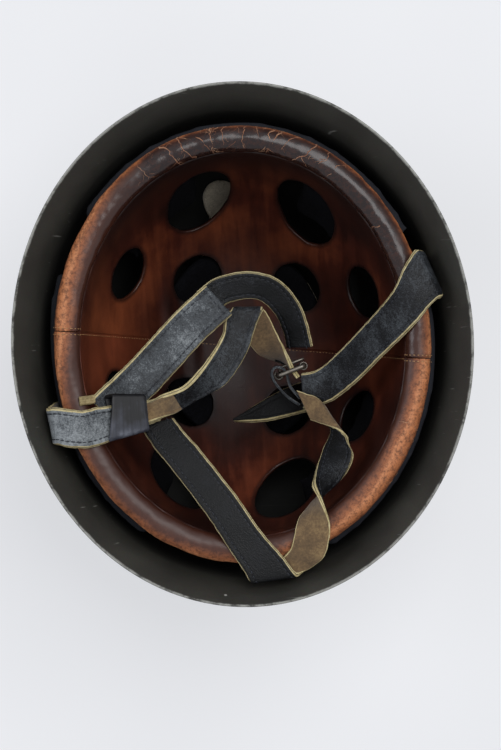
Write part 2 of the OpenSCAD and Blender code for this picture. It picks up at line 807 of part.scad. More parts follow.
module running_strap() {
    color(strap_black)
        difference() {
            ribbon(running_path, running_across, running_strap_width, strap, slanted = true);
            buckle_place()
                translate([-prong_slot / 2, 1 - buckle_length / 2, prong_height - prong_slot / 2])
                    cube([prong_slot, buckle_length - 1, prong_slot + 4]);
        }
}

module buckle_chape() {
    slot = 3 + 2 * fit;
    color(strap_black)
        difference() {
            ribbon(chape_path, chape_across, chape_width, chape_thick);
            buckle_place()
                translate([0, -buckle_length / 2, 0])
                    rotate([0, 90, 0])
                        cylinder(r = buckle_wire / 2 + prong_wire + 4, h = slot, center = true, $fn = 32);
        }
}

// Roller buckle: its own +Y goes from the prong wire to the roller wire

buckle_heading = -72;
roller_outer = 4.8;
roller_length = 18;
prong_wire = 2;
prong_slot = 3.8;
prong_height = roller_outer / 2 + prong_wire / 2 + fit;

module buckle_place() {
    translate(buckle_at)
        rotate([0, 0, buckle_heading])
            rotate([0, -90, 0])
                children();
}

module wire(length) {
    translate([-length / 2, 0, 0])
        rotate([0, 90, 0])
            cylinder(d = buckle_wire, h = length, $fn = 32);
}

module buckle_frame() {
    color(metal_grey)
        buckle_place() {
            for (s = [-1, 1]) {
                translate([0, s * buckle_length / 2, 0])
                    wire(buckle_width);
                translate([s * buckle_width / 2, 0, 0])
                    rotate([0, 0, 90])
                        wire(buckle_length);
                for (t = [-1, 1])
                    translate([s * buckle_width / 2, t * buckle_length / 2, 0])
                        sphere(d = buckle_wire, $fn = 32);
            }
        }
}

module buckle_roller() {
    color(metal_grey)
        buckle_place()
            translate([-roller_length / 2, buckle_length / 2, 0])
                rotate([0, 90, 0])
                    difference() {
                        cylinder(d = roller_outer, h = roller_length, $fn = 48);
                        translate([0, 0, -1])
                            cylinder(d = buckle_wire + 2 * fit, h = roller_length + 2, $fn = 48);
                    }
}

module buckle_prong() {
    eye = buckle_wire / 2 + fit;
    color(metal_grey)
        buckle_place()
            translate([0, -buckle_length / 2, 0]) {
                rotate([0, 90, 0])
                    difference() {
                        cylinder(r = eye + 1.4, h = 3, center = true, $fn = 48);
                        cylinder(r = eye, h = 5, center = true, $fn = 48);
                    }
                difference() {
                    translate([0, 0, prong_height])
                        rotate([-90, 0, 0])
                            cylinder(d = prong_wire, h = buckle_length + 2, $fn = 24);
                    rotate([0, 90, 0])
                        cylinder(r = eye, h = 5, center = true, $fn = 48);
                }
            }
}

shell();
liner_front_panel();
liner_rear_panel();
lip_roll_front();
lip_roll_rear();
front_pad();
front_left_pad();
front_right_pad();
left_pad();
right_pad();
crown_pad();
crown_felt();
felt_patch();
strap_rivets();
strap_washers();
left_strap_root();
right_strap_root();
left_side_strap();
right_side_strap();
right_strap_tail();
chin_strap_root();
leather_tab();
running_strap_end();
strap_keeper();
neck_strap_root();
neck_strap();
neck_strap_wrap();
chin_strap();
chin_strap_extension();
running_strap();
buckle_chape();
buckle_frame();
buckle_roller();
buckle_prong();
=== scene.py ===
# Paratrooper helmet lying on its crown: steel shell, leather bonnet, foam pads and leather straps.
import math
from functools import partial
from itertools import product

import bmesh
import bpy
import numpy as np
from mathutils import Matrix, Vector, noise


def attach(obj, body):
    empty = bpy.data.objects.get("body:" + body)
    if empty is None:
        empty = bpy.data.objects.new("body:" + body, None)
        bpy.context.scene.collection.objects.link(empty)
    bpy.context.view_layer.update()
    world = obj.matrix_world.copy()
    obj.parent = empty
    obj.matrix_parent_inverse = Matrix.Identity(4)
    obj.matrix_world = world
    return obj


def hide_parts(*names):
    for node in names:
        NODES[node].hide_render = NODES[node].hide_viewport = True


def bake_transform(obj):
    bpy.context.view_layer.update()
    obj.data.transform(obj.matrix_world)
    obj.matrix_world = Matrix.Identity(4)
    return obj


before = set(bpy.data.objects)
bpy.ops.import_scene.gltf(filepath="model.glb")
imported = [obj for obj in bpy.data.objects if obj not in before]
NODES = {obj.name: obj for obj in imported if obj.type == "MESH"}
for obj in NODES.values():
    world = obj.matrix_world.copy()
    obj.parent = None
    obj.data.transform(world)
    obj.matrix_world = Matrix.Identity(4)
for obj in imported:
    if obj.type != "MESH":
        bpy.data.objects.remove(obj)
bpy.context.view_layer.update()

MM = 0.001
SCENE = bpy.context.scene

# ---------------------------------------------------------------- forms, in millimetres

RIM_LENGTH, RIM_WIDTH, SHELL_HEIGHT, SHEET = 283, 249, 160, 1.3
FLARE_OUT, FLARE_DEPTH, FLARE_POWER = 12.7, 34, 1.7
DOME_START, DOME_POWER, CROWN_ANGLE = 26, 2.25, 84
WALL_HALF = np.array([RIM_WIDTH, RIM_LENGTH]) / 2 - SHEET - FLARE_OUT

BOWL_HALF = np.array([89.0, 105.5])
BOWL_TOP, BOWL_DEEP, LEATHER = 20, 110, 2
ROLL_HALF_WIDTH, ROLL_HALF_HEIGHT, ROLL_DEPTH = 7, 6, 16
ROLL_HALF = BOWL_HALF + ROLL_HALF_WIDTH - 0.2
BONNET_TURN = -7.8
# Place, width, stretch and lean of the bonnet's holes, one for each quarter
HOLES = (((30, 37), 31, 0, 0), ((69, 36), 31, 0, 0), ((32, 82), 37, 17, 28))

LEFT_STRAP_ANGLE, RIGHT_STRAP_ANGLE = 199, 17.5
RIVET_DEPTHS = (44, 58)


def dome_depth(angle):
    return math.sin(math.radians(angle)) ** (2 / DOME_POWER)


def wall_half(depth, skin=0.0):
    """Half sizes of the inside of the shell at a depth, or of a skin round it."""
    bottom = SHELL_HEIGHT - SHEET + skin
    share = min(max((depth - DOME_START) / (bottom - DOME_START), 0), 1)
    angle = math.asin(min((share * dome_depth(CROWN_ANGLE)) ** (DOME_POWER / 2), 1))
    flare = FLARE_OUT * (1 - depth / FLARE_DEPTH) ** FLARE_POWER if depth < FLARE_DEPTH else 0
    return (WALL_HALF + skin) * math.cos(angle) ** (2 / DOME_POWER) + flare


def oval(angle, half, depth):
    """Point of an oval in a direction measured as a true angle from +X."""
    c, s = math.cos(math.radians(angle)), math.sin(math.radians(angle))
    size = 1 / math.hypot(c / half[0], s / half[1])
    return np.array([size * c, size * s, SHELL_HEIGHT - depth])


def unit(v):
    v = np.asarray(v, float)
    return v / np.linalg.norm(v)


def turned(v, degrees):
    a = math.radians(degrees)
    return np.array([v[0] * math.cos(a) - v[1] * math.sin(a), v[0] * math.sin(a) + v[1] * math.cos(a), v[2]])


def ripple(x, y, z=0.0, seed=0.0):
    """Soft noise from about -1 to 1."""
    return noise.noise(Vector((x + 17.3 * seed, y - 9.1 * seed, z + 4.7 * seed)))


def ring(sides, radius=1.0):
    """Points round a circle."""
    turns = [2 * math.pi * j / sides for j in range(sides)]
    return [(radius * math.cos(a), radius * math.sin(a)) for a in turns]


def smooth_line(stations, steps):
    """Points between given stations, on a smooth curve through all of them."""
    p = np.asarray(stations, float)
    p = p[:, None] if p.ndim == 1 else p
    last = len(p) - 1
    out = []
    for i in range(last):
        a, b, c, d = p[max(i - 1, 0)], p[i], p[i + 1], p[min(i + 2, last)]
        for t in (k / steps for k in range(steps)):
            out.append(0.5 * (2 * b + (c - a) * t + (2 * a - 5 * b + 4 * c - d) * t * t
                              + (3 * b - a - 3 * c + d) * t ** 3))
    return np.array(out + [p[last]])


# ---------------------------------------------------------------- meshes and objects

def new_object(name, data):
    obj = bpy.data.objects.new(name, data)
    SCENE.collection.objects.link(obj)
    return obj


def make_mesh(name, points, faces, corner_uv=None, face_slots=None, materials=(), closed=True, **values):
    """Mesh in metres from points in millimetres. The UV map holds millimetres along the surface."""
    mesh = bpy.data.meshes.new(name)
    mesh.from_pydata((np.asarray(points, float) * MM).tolist(), [], [tuple(f) for f in faces])
    if corner_uv is not None:
        layer = mesh.uv_layers.new(name="surface_mm")
        layer.data.foreach_set("uv", np.asarray(corner_uv, np.float32).ravel())
    for key, at_points in values.items():
        attribute = mesh.attributes.new(key, "FLOAT", "POINT")
        attribute.data.foreach_set("value", np.asarray(at_points, np.float32))
    for material in materials:
        mesh.materials.append(material)
    if face_slots is not None:
        mesh.polygons.foreach_set("material_index", np.asarray(face_slots, np.int32))
    mesh.shade_smooth()
    if closed:
        outward(mesh)
    return mesh


def outward(mesh, merge=0.0):
    """Turns the faces of a closed mesh outwards, after its doubles are merged."""
    work = bmesh.new()
    work.from_mesh(mesh)
    if merge:
        bmesh.ops.remove_doubles(work, verts=work.verts, dist=merge)
    bmesh.ops.recalc_face_normals(work, faces=work.faces)
    work.to_mesh(mesh)
    work.free()


def rows_of_quads(rows, sides, round_rows=False, caps=False):
    """Faces between rings of points, from ring to ring."""
    faces = []
    for i in range(rows if round_rows else rows - 1):
        n = (i + 1) % rows
        for j in range(sides):
            k = (j + 1) % sides
            faces.append((i * sides + j, n * sides + j, n * sides + k, i * sides + k))
    if caps:
        faces += [tuple(range(sides)), tuple(range((rows - 1) * sides, rows * sides))]
    return faces


def grid_faces(rows, cols, u, v, around=False):
    """Quads and corner UVs for a grid of points. u has cols + 1 entries when the grid goes round."""
    faces, uv = [], []
    for i in range(rows - 1):
        for j in range(cols if around else cols - 1):
            a, b = i * cols + j, i * cols + (j + 1) % cols
            faces.append((a, b, b + cols, a + cols))
            uv += [(u[j], v[i]), (u[j + 1], v[i]), (u[j + 1], v[i + 1]), (u[j], v[i + 1])]
    return faces, uv


def row_uv(along, around):
    """Corner UVs for rows_of_quads: a value for each row, and one more than the sides round it."""
    rounds = around if np.ndim(around) == 2 else [around] * len(along)
    uv = []
    for a, b, low, high in zip(along, along[1:], rounds, rounds[1:]):
        for j in range(len(low) - 1):
            uv += [(a, low[j]), (b, high[j]), (b, high[j + 1]), (a, low[j + 1])]
    return uv


def settle(piece, body, slot, *nodes):
    """The finished object or mesh rides on its body and stands for its CAD nodes."""
    obj = new_object(piece.name, piece) if isinstance(piece, bpy.types.Mesh) else piece
    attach(obj, body)
    if nodes:
        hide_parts(*nodes)
    return obj


def bake(obj):
    """Makes the result of an object's modifiers its own plain mesh."""
    graph = bpy.context.evaluated_depsgraph_get()
    mesh = bpy.data.meshes.new_from_object(obj.evaluated_get(graph), depsgraph=graph)
    before = obj.data
    obj.modifiers.clear()
    obj.data = mesh
    bpy.data.meshes.remove(before)
    mesh.name = obj.name


def joined(name, shapes, material):
    """One closed mesh of several shapes, each of points and faces."""
    points, faces = [], []
    for more_points, more_faces in shapes:
        faces += [tuple(len(points) + i for i in face) for face in more_faces]
        points += more_points
    return make_mesh(name, points, faces, materials=[material])


def rod(line, radii, sides, closed=False):
    """Round wire along a line of points, with its ends closed unless it is a closed loop."""
    count, points, side = len(line), [], None
    for i, p in enumerate(line):
        ahead = line[(i + 1) % count] if closed or i + 1 < count else p
        behind = line[i - 1] if closed or i > 0 else p
        along = unit(ahead - behind)
        if side is None:
            side = unit(np.cross(along, [0.31, 0.2, 0.93]))
        side = unit(side - along * (side @ along))
        other = np.cross(along, side)
        points += [p + (side * x + other * y) * radii[i] for x, y in ring(sides)]
    return points, rows_of_quads(count, sides, closed, caps=not closed)


# ---------------------------------------------------------------- materials

def linear(code):
    """sRGB hex code to the linear colour that a socket takes."""
    parts = [int(code[i:i + 2], 16) / 255 for i in (1, 3, 5)]
    return tuple(c / 12.92 if c <= 0.04045 else ((c + 0.055) / 1.055) ** 2.4 for c in parts) + (1.0,)


def add_node(tree, kind, *values, stops=None, **named):
    """Adds a node. Small words are its settings, then come its inputs: bare ones in order, others by name.
    A value is a number, a hex colour, a socket, or another node, which stands for its first output."""
    whole = kind.startswith(("Geometry", "Function", "NodeGroup"))
    node = tree.nodes.new(kind if whole else "ShaderNode" + kind)
    for key in [key for key in named if key.islower()]:
        setattr(node, key, named.pop(key))
    pairs = list(zip([s for s in node.inputs if s.enabled], values))
    pairs += [(node.inputs[key.replace("_", " ")], value) for key, value in named.items()]
    for socket, value in pairs:
        if isinstance(value, bpy.types.Node):
            value = next(s for s in value.outputs if s.enabled)
        if isinstance(value, bpy.types.NodeSocket):
            tree.links.new(value, socket)
        else:
            socket.default_value = linear(value) if isinstance(value, str) and value[0] == "#" else value
    if stops:
        ramp = node.color_ramp
        while len(ramp.elements) < len(stops):
            ramp.elements.new(1.0)
        for element, (place, tone) in zip(ramp.elements, stops):
            element.position = place
            element.color = linear(tone) if isinstance(tone, str) else (tone,) * 3 + (1.0,)
    return node


def make_material(name, build, *extra):
    """build adds its nodes and returns what goes into the shader's own sockets, or a whole surface."""
    material = bpy.data.materials.new(name)
    material.use_nodes = True
    material.node_tree.nodes.clear()
    add = partial(add_node, material.node_tree)
    place = add("TexCoord").outputs["Object"]
    surface = build(add, place, *extra)
    add("OutputMaterial", add("BsdfPrincipled", **surface) if isinstance(surface, dict) else surface)
    return material


def painted_steel(add, place):
    # Matt olive black spray enamel on pressed steel: fine grit, small chips, long scratches, bright worn rim.
    cloud = add("TexNoise", place, 28, 6, 0.62)
    paint = add("ValToRGB", cloud, stops=[(0.3, "#201f1b"), (0.52, "#292823"), (0.75, "#32312b")])
    # Grit of 0.8 mm, coarser than real enamel so that it shows
    grit = add("TexNoise", place, 900, 3)
    gritty = add("Mix", 0.5, paint, grit.outputs["Color"], data_type="RGBA", blend_type="SOFT_LIGHT")
    # Chips and specks of about 1 mm, sparse
    speck = add("TexVoronoi", place, 85)
    chip = add("ValToRGB", speck, stops=[(0.05, 1.0), (0.085, 0.0)])
    few = add("Math", add("TexWhiteNoise", speck.outputs["Position"]), 0.95, operation="GREATER_THAN")
    chips = add("Math", chip, few, operation="MULTIPLY")
    # Long thin scratches: noise drawn out twenty times
    drawn = add("Mapping", place, Rotation=(0.3, 0.2, 0.9), Scale=(30, 700, 60))
    scratch = add("ValToRGB", add("TexNoise", drawn, 1, 2), stops=[(0.71, 0.0), (0.76, 0.5)])
    # The cut rim, the top 1.2 mm, is rubbed to bare steel in patches
    rim = add("MapRange", add("SeparateXYZ", place).outputs["Z"], 0.1579, 0.1596, 0, 1)
    rubbed = add("Math", rim, add("TexNoise", place, 130, 5, 0.7), operation="MULTIPLY")
    bare = add("ValToRGB", rubbed, stops=[(0.36, 0.0), (0.52, 1.0)])
    worn = add("Math", add("Math", chips, scratch, operation="MAXIMUM"), bare, operation="MAXIMUM")
    colour = add("Mix", worn, gritty, "#8b8b86", data_type="RGBA")
    # Behind the pads it is dark with soot and old glue
    # Painted shade: behind the pads the enamel is darkened nearly to black, standing in for the shadow in the
    # gap
    behind = add("Attribute", attribute_name="behind").outputs["Fac"]
    return dict(Base_Color=add("Mix", behind, colour, "#060605", data_type="RGBA"),
                Metallic=add("Math", bare, 0.55, operation="MULTIPLY"),
                Roughness=add("MapRange", cloud, 0, 1, 0.5, 0.72),
                Normal=add("Bump", 0.25, 0.0002, Height=grit))


def bonnet_leather(add, place, tones, sweat_and_shade_amount):
    # Vegetable tanned cowhide, oiled and darkened: red brown, streaked along the hide, glossier where rubbed.
    # Streaks about 5 mm wide and 60 mm long, along the hide from forehead to neck
    streak = add("TexNoise", add("Mapping", place, Rotation=(0, 0, 0.14), Scale=(190, 16, 30)), 1, 4, 0.5,
                 Distortion=0.5)
    both = add("Mix", 0.3, add("TexNoise", place, 22, 5, 0.6), streak)
    # Broad patches, 60 to 120 mm, where hands and sweat have darkened it
    uneven = add("Math", add("TexNoise", place, 11, 2, 0.5), 0.3, both, operation="MULTIPLY_ADD")
    # The hide is made lighter over the left ear, fading out from 12 to 70 mm
    apart = add("VectorMath", place, (-0.058, 0.012, 0.095), operation="DISTANCE")
    left_ear_lift = add("MapRange", apart, 0.012, 0.07, 0.26, 0, interpolation_type="SMOOTHSTEP")
    lifted = add("Math", uneven, left_ear_lift, operation="ADD")
    tan = add("ValToRGB", lifted, stops=list(zip((0.48, 0.64, 0.95), tones)))
    # Darkening high on the wall, strongest at the forehead and nape and half as strong by the ears: partly
    # real staining from wear, partly painted shade where the wall faces away from the light
    spot = add("SeparateXYZ", place).outputs
    high = add("MapRange", spot["Z"], 0.068, 0.13, 0, sweat_and_shade_amount, interpolation_type="SMOOTHSTEP")
    ends = add("MapRange", add("Math", spot["Y"], operation="ABSOLUTE"), 0.02, 0.075, 0.4, 1)
    sweat_and_shade = add("Math", high, ends, operation="MULTIPLY")
    sweat_and_shade_tan = add("Mix", sweat_and_shade, tan, "#190e0c", data_type="RGBA")
    # The crown is browned by years of hair oil
    low = add("MapRange", spot["Z"], 0.035, 0.08, 0.5, 0, interpolation_type="SMOOTHSTEP")
    oiled = add("Mix", low, sweat_and_shade_tan, "#1d0c08", data_type="RGBA")
    # The leather within about 3 mm of the holes' edges is darkened towards nearly black
    edge = add("Attribute", attribute_name="edge_mm").outputs["Fac"]
    near = add("MapRange", edge, 0.4, 3.2, 0.75, 0, interpolation_type="SMOOTHSTEP")
    # Pores of 0.6 mm over wrinkles
    relief = add("Mix", 0.6, add("TexVoronoi", place, 1300), add("TexNoise", place, 160, 5))
    return dict(Base_Color=add("Mix", near, oiled, "#120a09", data_type="RGBA"),
                Roughness=add("MapRange", streak, 0, 1, 0.32, 0.5), IOR=1.43,
                Normal=add("Bump", 0.2, 0.0008, Height=add("Mix", 0.4, relief, streak)))


def lip_leather(add, place, brown_from, brown_to, inner_gloss):
    # The same hide drawn over padding: rubbed dark and shiny inside, worn back to orange at the outer edge,
    # with a painted highlight along that edge.
    across = add("SeparateXYZ", add("UVMap", uv_map="surface_mm")).outputs["Y"]
    cloud = add("TexNoise", place, 90, 7, 0.72)
    uneven = add("Math", cloud, 7, across, operation="MULTIPLY_ADD")
    # Millimetres past the width to which the outer side is worn back to orange
    worn = add("Attribute", attribute_name="worn_mm").outputs["Fac"]
    share = add("MapRange", add("Math", uneven, worn, operation="SUBTRACT"), -10, 20, 0, 1)
    # The bright band near 0.2 to 0.3 is partly worn orange hide and partly a painted highlight on the roll's
    # outer side, which faces away from the lamps
    hide = add("ValToRGB", share, stops=[
        (0.0, "#8a4a28"), (0.2, "#b46c3e"), (0.31, "#a8673d"), (0.36, "#74422a"), (0.42, "#33201b"),
        (0.5, "#1f1414"), (0.72, "#1c1111"), (1.0, "#1e0e0b")])
    # At the sides and the back the inner half is browner, as it was handled less; the bright band near 0.3 is
    # partly a painted highlight
    brown = add("ValToRGB", share, stops=[
        (0.0, "#80482a"), (0.2, "#b57248"), (0.3, "#c07f56"), (0.35, "#9a5e3c"), (0.5, "#4d2d22"),
        (0.62, "#3c221a"), (0.8, "#381a11"), (1.0, "#3a180e")])
    hide = add("Mix", add("MapRange", worn, brown_from, brown_to, 0, 1), hide, brown, data_type="RGBA")
    # Dark specks and pits of about 1 mm, where dirt sits in the worn grain
    pits = add("MapRange", add("TexNoise", place, 420, 6, 0.8), 0.4, 0.54, 0.7, 0)
    relief = add("Mix", 0.55, add("TexVoronoi", place, 900), cloud)
    # The rough worn side has a strong grain, the polished inner side hardly any
    return dict(Base_Color=add("Mix", pits, hide, "#3a2018", data_type="RGBA"),
                Roughness=add("MapRange", share, 0.35, 0.55, 0.66, inner_gloss), IOR=1.42,
                Normal=add("Bump", add("MapRange", share, 0.3, 0.5, 0.5, 0.06), 0.0007, Height=relief))


def torn_fibre(add, place):
    # Raw hide that shows where the finish has cracked: dry orange tan, paler at thin places.
    cloud = add("TexNoise", place, 260, 5, 0.7)
    colour = add("ValToRGB", cloud, stops=[(0.35, "#6f4430"), (0.5, "#8f634a"), (0.65, "#af8a6c")])
    return dict(Base_Color=colour, Roughness=0.85, Normal=add("Bump", 0.4, 0.0002, Height=cloud))


def strap_grain(add, place):
    # Black dyed chrome leather, pebbled, rubbed to a bluish grey bloom over the high spots.
    # Pebbles of 0.7 mm
    pebble = add("TexVoronoi", place, 1150, Randomness=0.9)
    drawn = add("Mapping", add("UVMap", uv_map="surface_mm"), Scale=(0.5, 0.3, 1))
    folds = add("TexNoise", drawn, 1, 7, 0.75)
    uneven = add("Mix", 0.5, add("TexNoise", place, 75, 4, 0.55), folds)
    bloom = add("MapRange", uneven, 0.33, 0.67, 0.27, 0.73)
    amount = add("Math", bloom, add("Attribute", attribute_name="rubbed").outputs["Fac"], operation="ADD")
    less = add("Math", pebble, -0.25, amount, operation="MULTIPLY_ADD")
    colour = add("ValToRGB", less, stops=[
        (0.15, "#08090a"), (0.36, "#141518"), (0.62, "#414549"), (0.92, "#8a8f92")])
    return dict(Base_Color=colour, Roughness=add("MapRange", bloom, 0, 1, 0.34, 0.62), IOR=1.3,
                Normal=add("Bump", 0.7, 0.0006, Height=add("Mix", 0.5, pebble, folds)))


def strap_edge(add, place):
    # Cut edge of undyed hide: pale straw fibres, handled to a dirty cream.
    drawn = add("Mapping", add("UVMap", uv_map="surface_mm"), Scale=(0.7, 4, 1))
    mixed = add("Mix", 0.4, add("TexNoise", place, 210, 6, 0.7), add("TexNoise", drawn, 1, 3))
    colour = add("ValToRGB", mixed, stops=[
        (0.3, "#4d412b"), (0.4, "#968759"), (0.52, "#c0b285"), (0.75, "#ddd0a4")])
    return dict(Base_Color=colour, Roughness=0.82, Normal=add("Bump", 0.6, 0.0004, Height=mixed))


def strap_suede(add, place):
    # Flesh side of the strap leather: brushed brown grey suede with a short nap.
    nap = add("TexNoise", place, 700, 4, 0.7)
    mixed = add("Mix", 0.45, add("TexNoise", place, 90, 5, 0.6), nap)
    colour = add("ValToRGB", mixed, stops=[(0.3, "#3f3121"), (0.5, "#665137"), (0.7, "#8e7650")])
    return dict(Base_Color=colour, Roughness=0.92, Sheen_Weight=0.25, Sheen_Roughness=0.5,
                Normal=add("Bump", 0.55, 0.0004, Height=nap))


def keeper_hide(add, place):
    # Thin smooth black calf leather, creased where it bends, with a soft even gloss.
    crease = add("TexNoise", add("Mapping", add("UVMap", uv_map="surface_mm"), Scale=(0.5, 0.12, 1)), 1, 5)
    mixed = add("Mix", 0.6, crease, add("TexNoise", place, 95, 4))
    # Painted light: the side below the fold is painted lighter as if lit, the side above darker as if shaded,
    # with a painted highlight along the fold
    sheen = add("Attribute", attribute_name="sheen").outputs["Fac"]
    amount = add("Math", sheen, 0.28, mixed, operation="MULTIPLY_ADD")
    colour = add("ValToRGB", amount, stops=[
        (0.35, "#070709"), (0.6, "#111114"), (0.78, "#34363f"), (1.0, "#6b6e78")])
    return dict(Base_Color=colour, Roughness=0.46, IOR=1.36, Normal=add("Bump", 0.2, 0.0005, Height=crease))


def tan_hide(add, place):
    # Undyed straw coloured leather, lightly soiled.
    cloud = add("TexNoise", place, 240, 6, 0.7)
    colour = add("ValToRGB", cloud, stops=[(0.3, "#4b3f2a"), (0.5, "#8a7a55"), (0.72, "#b5a67c")])
    return dict(Base_Color=colour, Roughness=0.8, Normal=add("Bump", 0.5, 0.0004, Height=cloud))


def pad_foam(add, place):
    # Black rubberised hair felt: dull and fibrous. Its near black is partly its own colour and partly painted
    # shade; its upper edges are painted grey as painted light.
    fibre = add("TexNoise", place, 520, 5, 0.75)
    mixed = add("Mix", 0.5, add("TexNoise", place, 45, 4), fibre)
    deep = add("ValToRGB", mixed, stops=[(0.3, "#040406"), (0.5, "#08080b"), (0.72, "#121318")])
    # Painted light: the pads' upper edges, near the mouth, are painted grey as if lit
    painted_lit_top = add("MapRange", add("SeparateXYZ", place).outputs["Z"], 0.118, 0.134, 0, 1)
    return dict(Base_Color=add("Mix", painted_lit_top, deep, "#2b2c31", data_type="RGBA"), Roughness=0.95, IOR=1.2,
                Normal=add("Bump", 0.8, 0.0008, Height=fibre))


def wool_felt(add, place):
    # Pressed wool felt, cream gone grey, with loose fibres.
    fibre = add("TexNoise", place, 600, 6, 0.7, Distortion=1.5)
    colour = add("ValToRGB", fibre, stops=[(0.3, "#a0937f"), (0.5, "#c8bca6"), (0.7, "#ddd3c0")])
    return dict(Base_Color=colour, Roughness=0.95, Sheen_Weight=0.3,
                Normal=add("Bump", 0.7, 0.0006, Height=fibre))


def thread(add, place, dark, light):
    # Waxed linen thread, twisted: fine oblique ridges and a dull shine.
    twist = add("TexWave", place, 420, 1).outputs["Fac"]
    return dict(Base_Color=add("ValToRGB", twist, stops=[(0.2, dark), (0.8, light)]), Roughness=0.6,
                Normal=add("Bump", 0.4, 0.0001, Height=twist))


def buckle_wire_steel(add, place):
    # Nickel plated steel wire gone dull, with brown rust freckles.
    cloud = add("TexNoise", place, 420, 6, 0.7)
    rust = add("ValToRGB", cloud, stops=[(0.55, 0.0), (0.68, 0.8)])
    return dict(Base_Color=add("Mix", rust, "#6f6a63", "#3f2f22", data_type="RGBA"),
                Metallic=add("MapRange", rust, 0, 1, 0.95, 0.2),
                Roughness=add("MapRange", cloud, 0, 1, 0.28, 0.55),
                Normal=add("Bump", 0.3, 0.0002, Height=cloud))


ENAMEL = make_material("matt_olive_enamel", painted_steel)
# Each panel's last value sets how dark its upper wall is painted; the forehead panel's larger value is partly
# painted shade, as that wall faces away from the light
HIDE_FRONT = make_material("mahogany_cowhide_front", bonnet_leather, ("#28110c", "#481f14", "#8f4b2c"), 0.93)
HIDE_REAR = make_material("mahogany_cowhide_rear", bonnet_leather, ("#250f0a", "#431b10", "#86432a"), 0.6)
LIP_FRONT = make_material("rubbed_lip_hide_front", lip_leather, 6.5, 9.5, 0.22)
LIP_REAR = make_material("rubbed_lip_hide_rear", lip_leather, 0, 1, 0.42)
GRAIN = make_material("black_pebbled_strap_hide", strap_grain)
EDGE = make_material("raw_straw_cut_edge", strap_edge)
SUEDE = make_material("brown_grey_suede", strap_suede)
CALF = make_material("smooth_black_calf", keeper_hide)
FOAM = make_material("black_rubberised_felt", pad_foam)
WOOL = make_material("cream_wool_felt", wool_felt)
WIRE = make_material("dull_plated_wire", buckle_wire_steel)
BLACK_THREAD = make_material("black_linen_thread", thread, "#080a10", "#161b26")
STRAW_THREAD = make_material("straw_linen_thread", thread, "#8a6741", "#c79d6c")
STRAW = make_material("undyed_straw_hide", tan_hide)
TORN = make_material("torn_orange_hide", torn_fibre)


# ---------------------------------------------------------------- shell

def shell():
    sides, rows, bottom = 180, 46, 158.7

    def dome(reach, angles):
        return [DOME_START + (reach - DOME_START) * dome_depth(a) / dome_depth(CROWN_ANGLE) for a in angles]

    depths = [bottom] + dome(bottom, np.linspace(82, 6, rows)) + list(np.linspace(DOME_START, 0.5, 18))
    outside = list(np.linspace(0.5, DOME_START, 18)) + dome(SHELL_HEIGHT, np.linspace(6, CROWN_ANGLE, rows))
    levels = [(wall_half(d), d) for d in depths]
    # Rounded cut edge of the sheet
    for a in np.radians((45, 90, 135)):
        skin = SHEET / 2 - (SHEET / 2 - 0.15) * math.cos(a)
        levels.append((wall_half(0.5) + skin, 0.5 * (1 - math.sin(a))))
    levels += [(wall_half(d, SHEET), d) for d in outside]
    rings = [[oval(j * 360 / sides, half, d) for j in range(sides)] for half, d in levels]
    v = np.cumsum([0] + [np.linalg.norm(b[0] - a[0]) for a, b in zip(rings, rings[1:])])
    faces, uv = grid_faces(len(rings), sides, np.linspace(0, 780, sides + 1), v, around=True)
    points = np.vstack([np.reshape(rings, (-1, 3)), [0, 0, SHEET], [0, 0, 0]])
    inner_pole, outer_pole, last = len(points) - 2, len(points) - 1, (len(rings) - 1) * sides
    for j in range(sides):
        k = (j + 1) % sides
        faces += [(inner_pole, k, j), (last + j, last + k, outer_pole)]
        uv += [(0, -20), (4, 0), (0, 0), (0, 0), (4, 0), (0, 20)]
    # How much painted shade darkens the inside: from the foot of the flare down it lies behind the pads, in
    # their shadow
    deep = [float(np.clip((d - 24) / 24, 0, 0.92)) for d in depths]
    behind = np.repeat(deep + [0.0] * (len(rings) - len(depths)), sides)
    mesh = make_mesh("steel_shell", points, faces, uv, materials=[ENAMEL], closed=False,
                     behind=[*behind, 0.92, 0])
    settle(mesh, "helmet", "painted_steel", "shell")


# ---------------------------------------------------------------- bonnet

def hole_frames():
    """Centre, axes and sizes of the holes of the bonnet."""
    frames = []
    for (over, fore), width, stretch, lean in HOLES:
        for sx in (-1, 1):
            for sy in (-1, 1):
                x, y = over * sx, fore * sy
                share = math.sqrt(1 - (x / BOWL_HALF[0]) ** 2 - (y / BOWL_HALF[1]) ** 2)
                normal = unit([x / BOWL_HALF[0] ** 2, y / BOWL_HALF[1] ** 2, -share / BOWL_DEEP])
                heading = math.atan2(normal[1], normal[0])
                tilt = math.atan2(math.hypot(normal[0], normal[1]), -normal[2])
                ax = turned([math.cos(tilt), 0, math.sin(tilt)], math.degrees(heading))
                ay = np.array([-math.sin(heading), math.cos(heading), 0])
                c, s = math.cos(math.radians(sx * sy * lean)), math.sin(math.radians(sx * sy * lean))
                centre = np.array([x, y, SHELL_HEIGHT - BOWL_TOP - BOWL_DEEP * share])
                frames.append([turned(q, BONNET_TURN) for q in (centre, ax * c + ay * s, ay * c - ax * s)]
                              + [width / 2, stretch / 2])
    return frames


def hole_distance(points):
    """Distance of each point to the nearest edge of a hole, below zero in the hole."""
    best = np.full(len(points), 99.0)
    for centre, ax, ay, radius, stretch in hole_frames():
        local = points - centre
        x, y = local @ ax, local @ ay
        uneven = np.array([0.4 * ripple(a / 7, b / 7, radius) for a, b in zip(x, y)])
        share = np.maximum(np.hypot(x / (radius + stretch), y / radius), 0.01)
        d = (1 - 1 / share) * np.hypot(x, y) + uneven
        best = np.where(np.linalg.norm(local, axis=1) < 60, np.minimum(best, d), best)
    return best


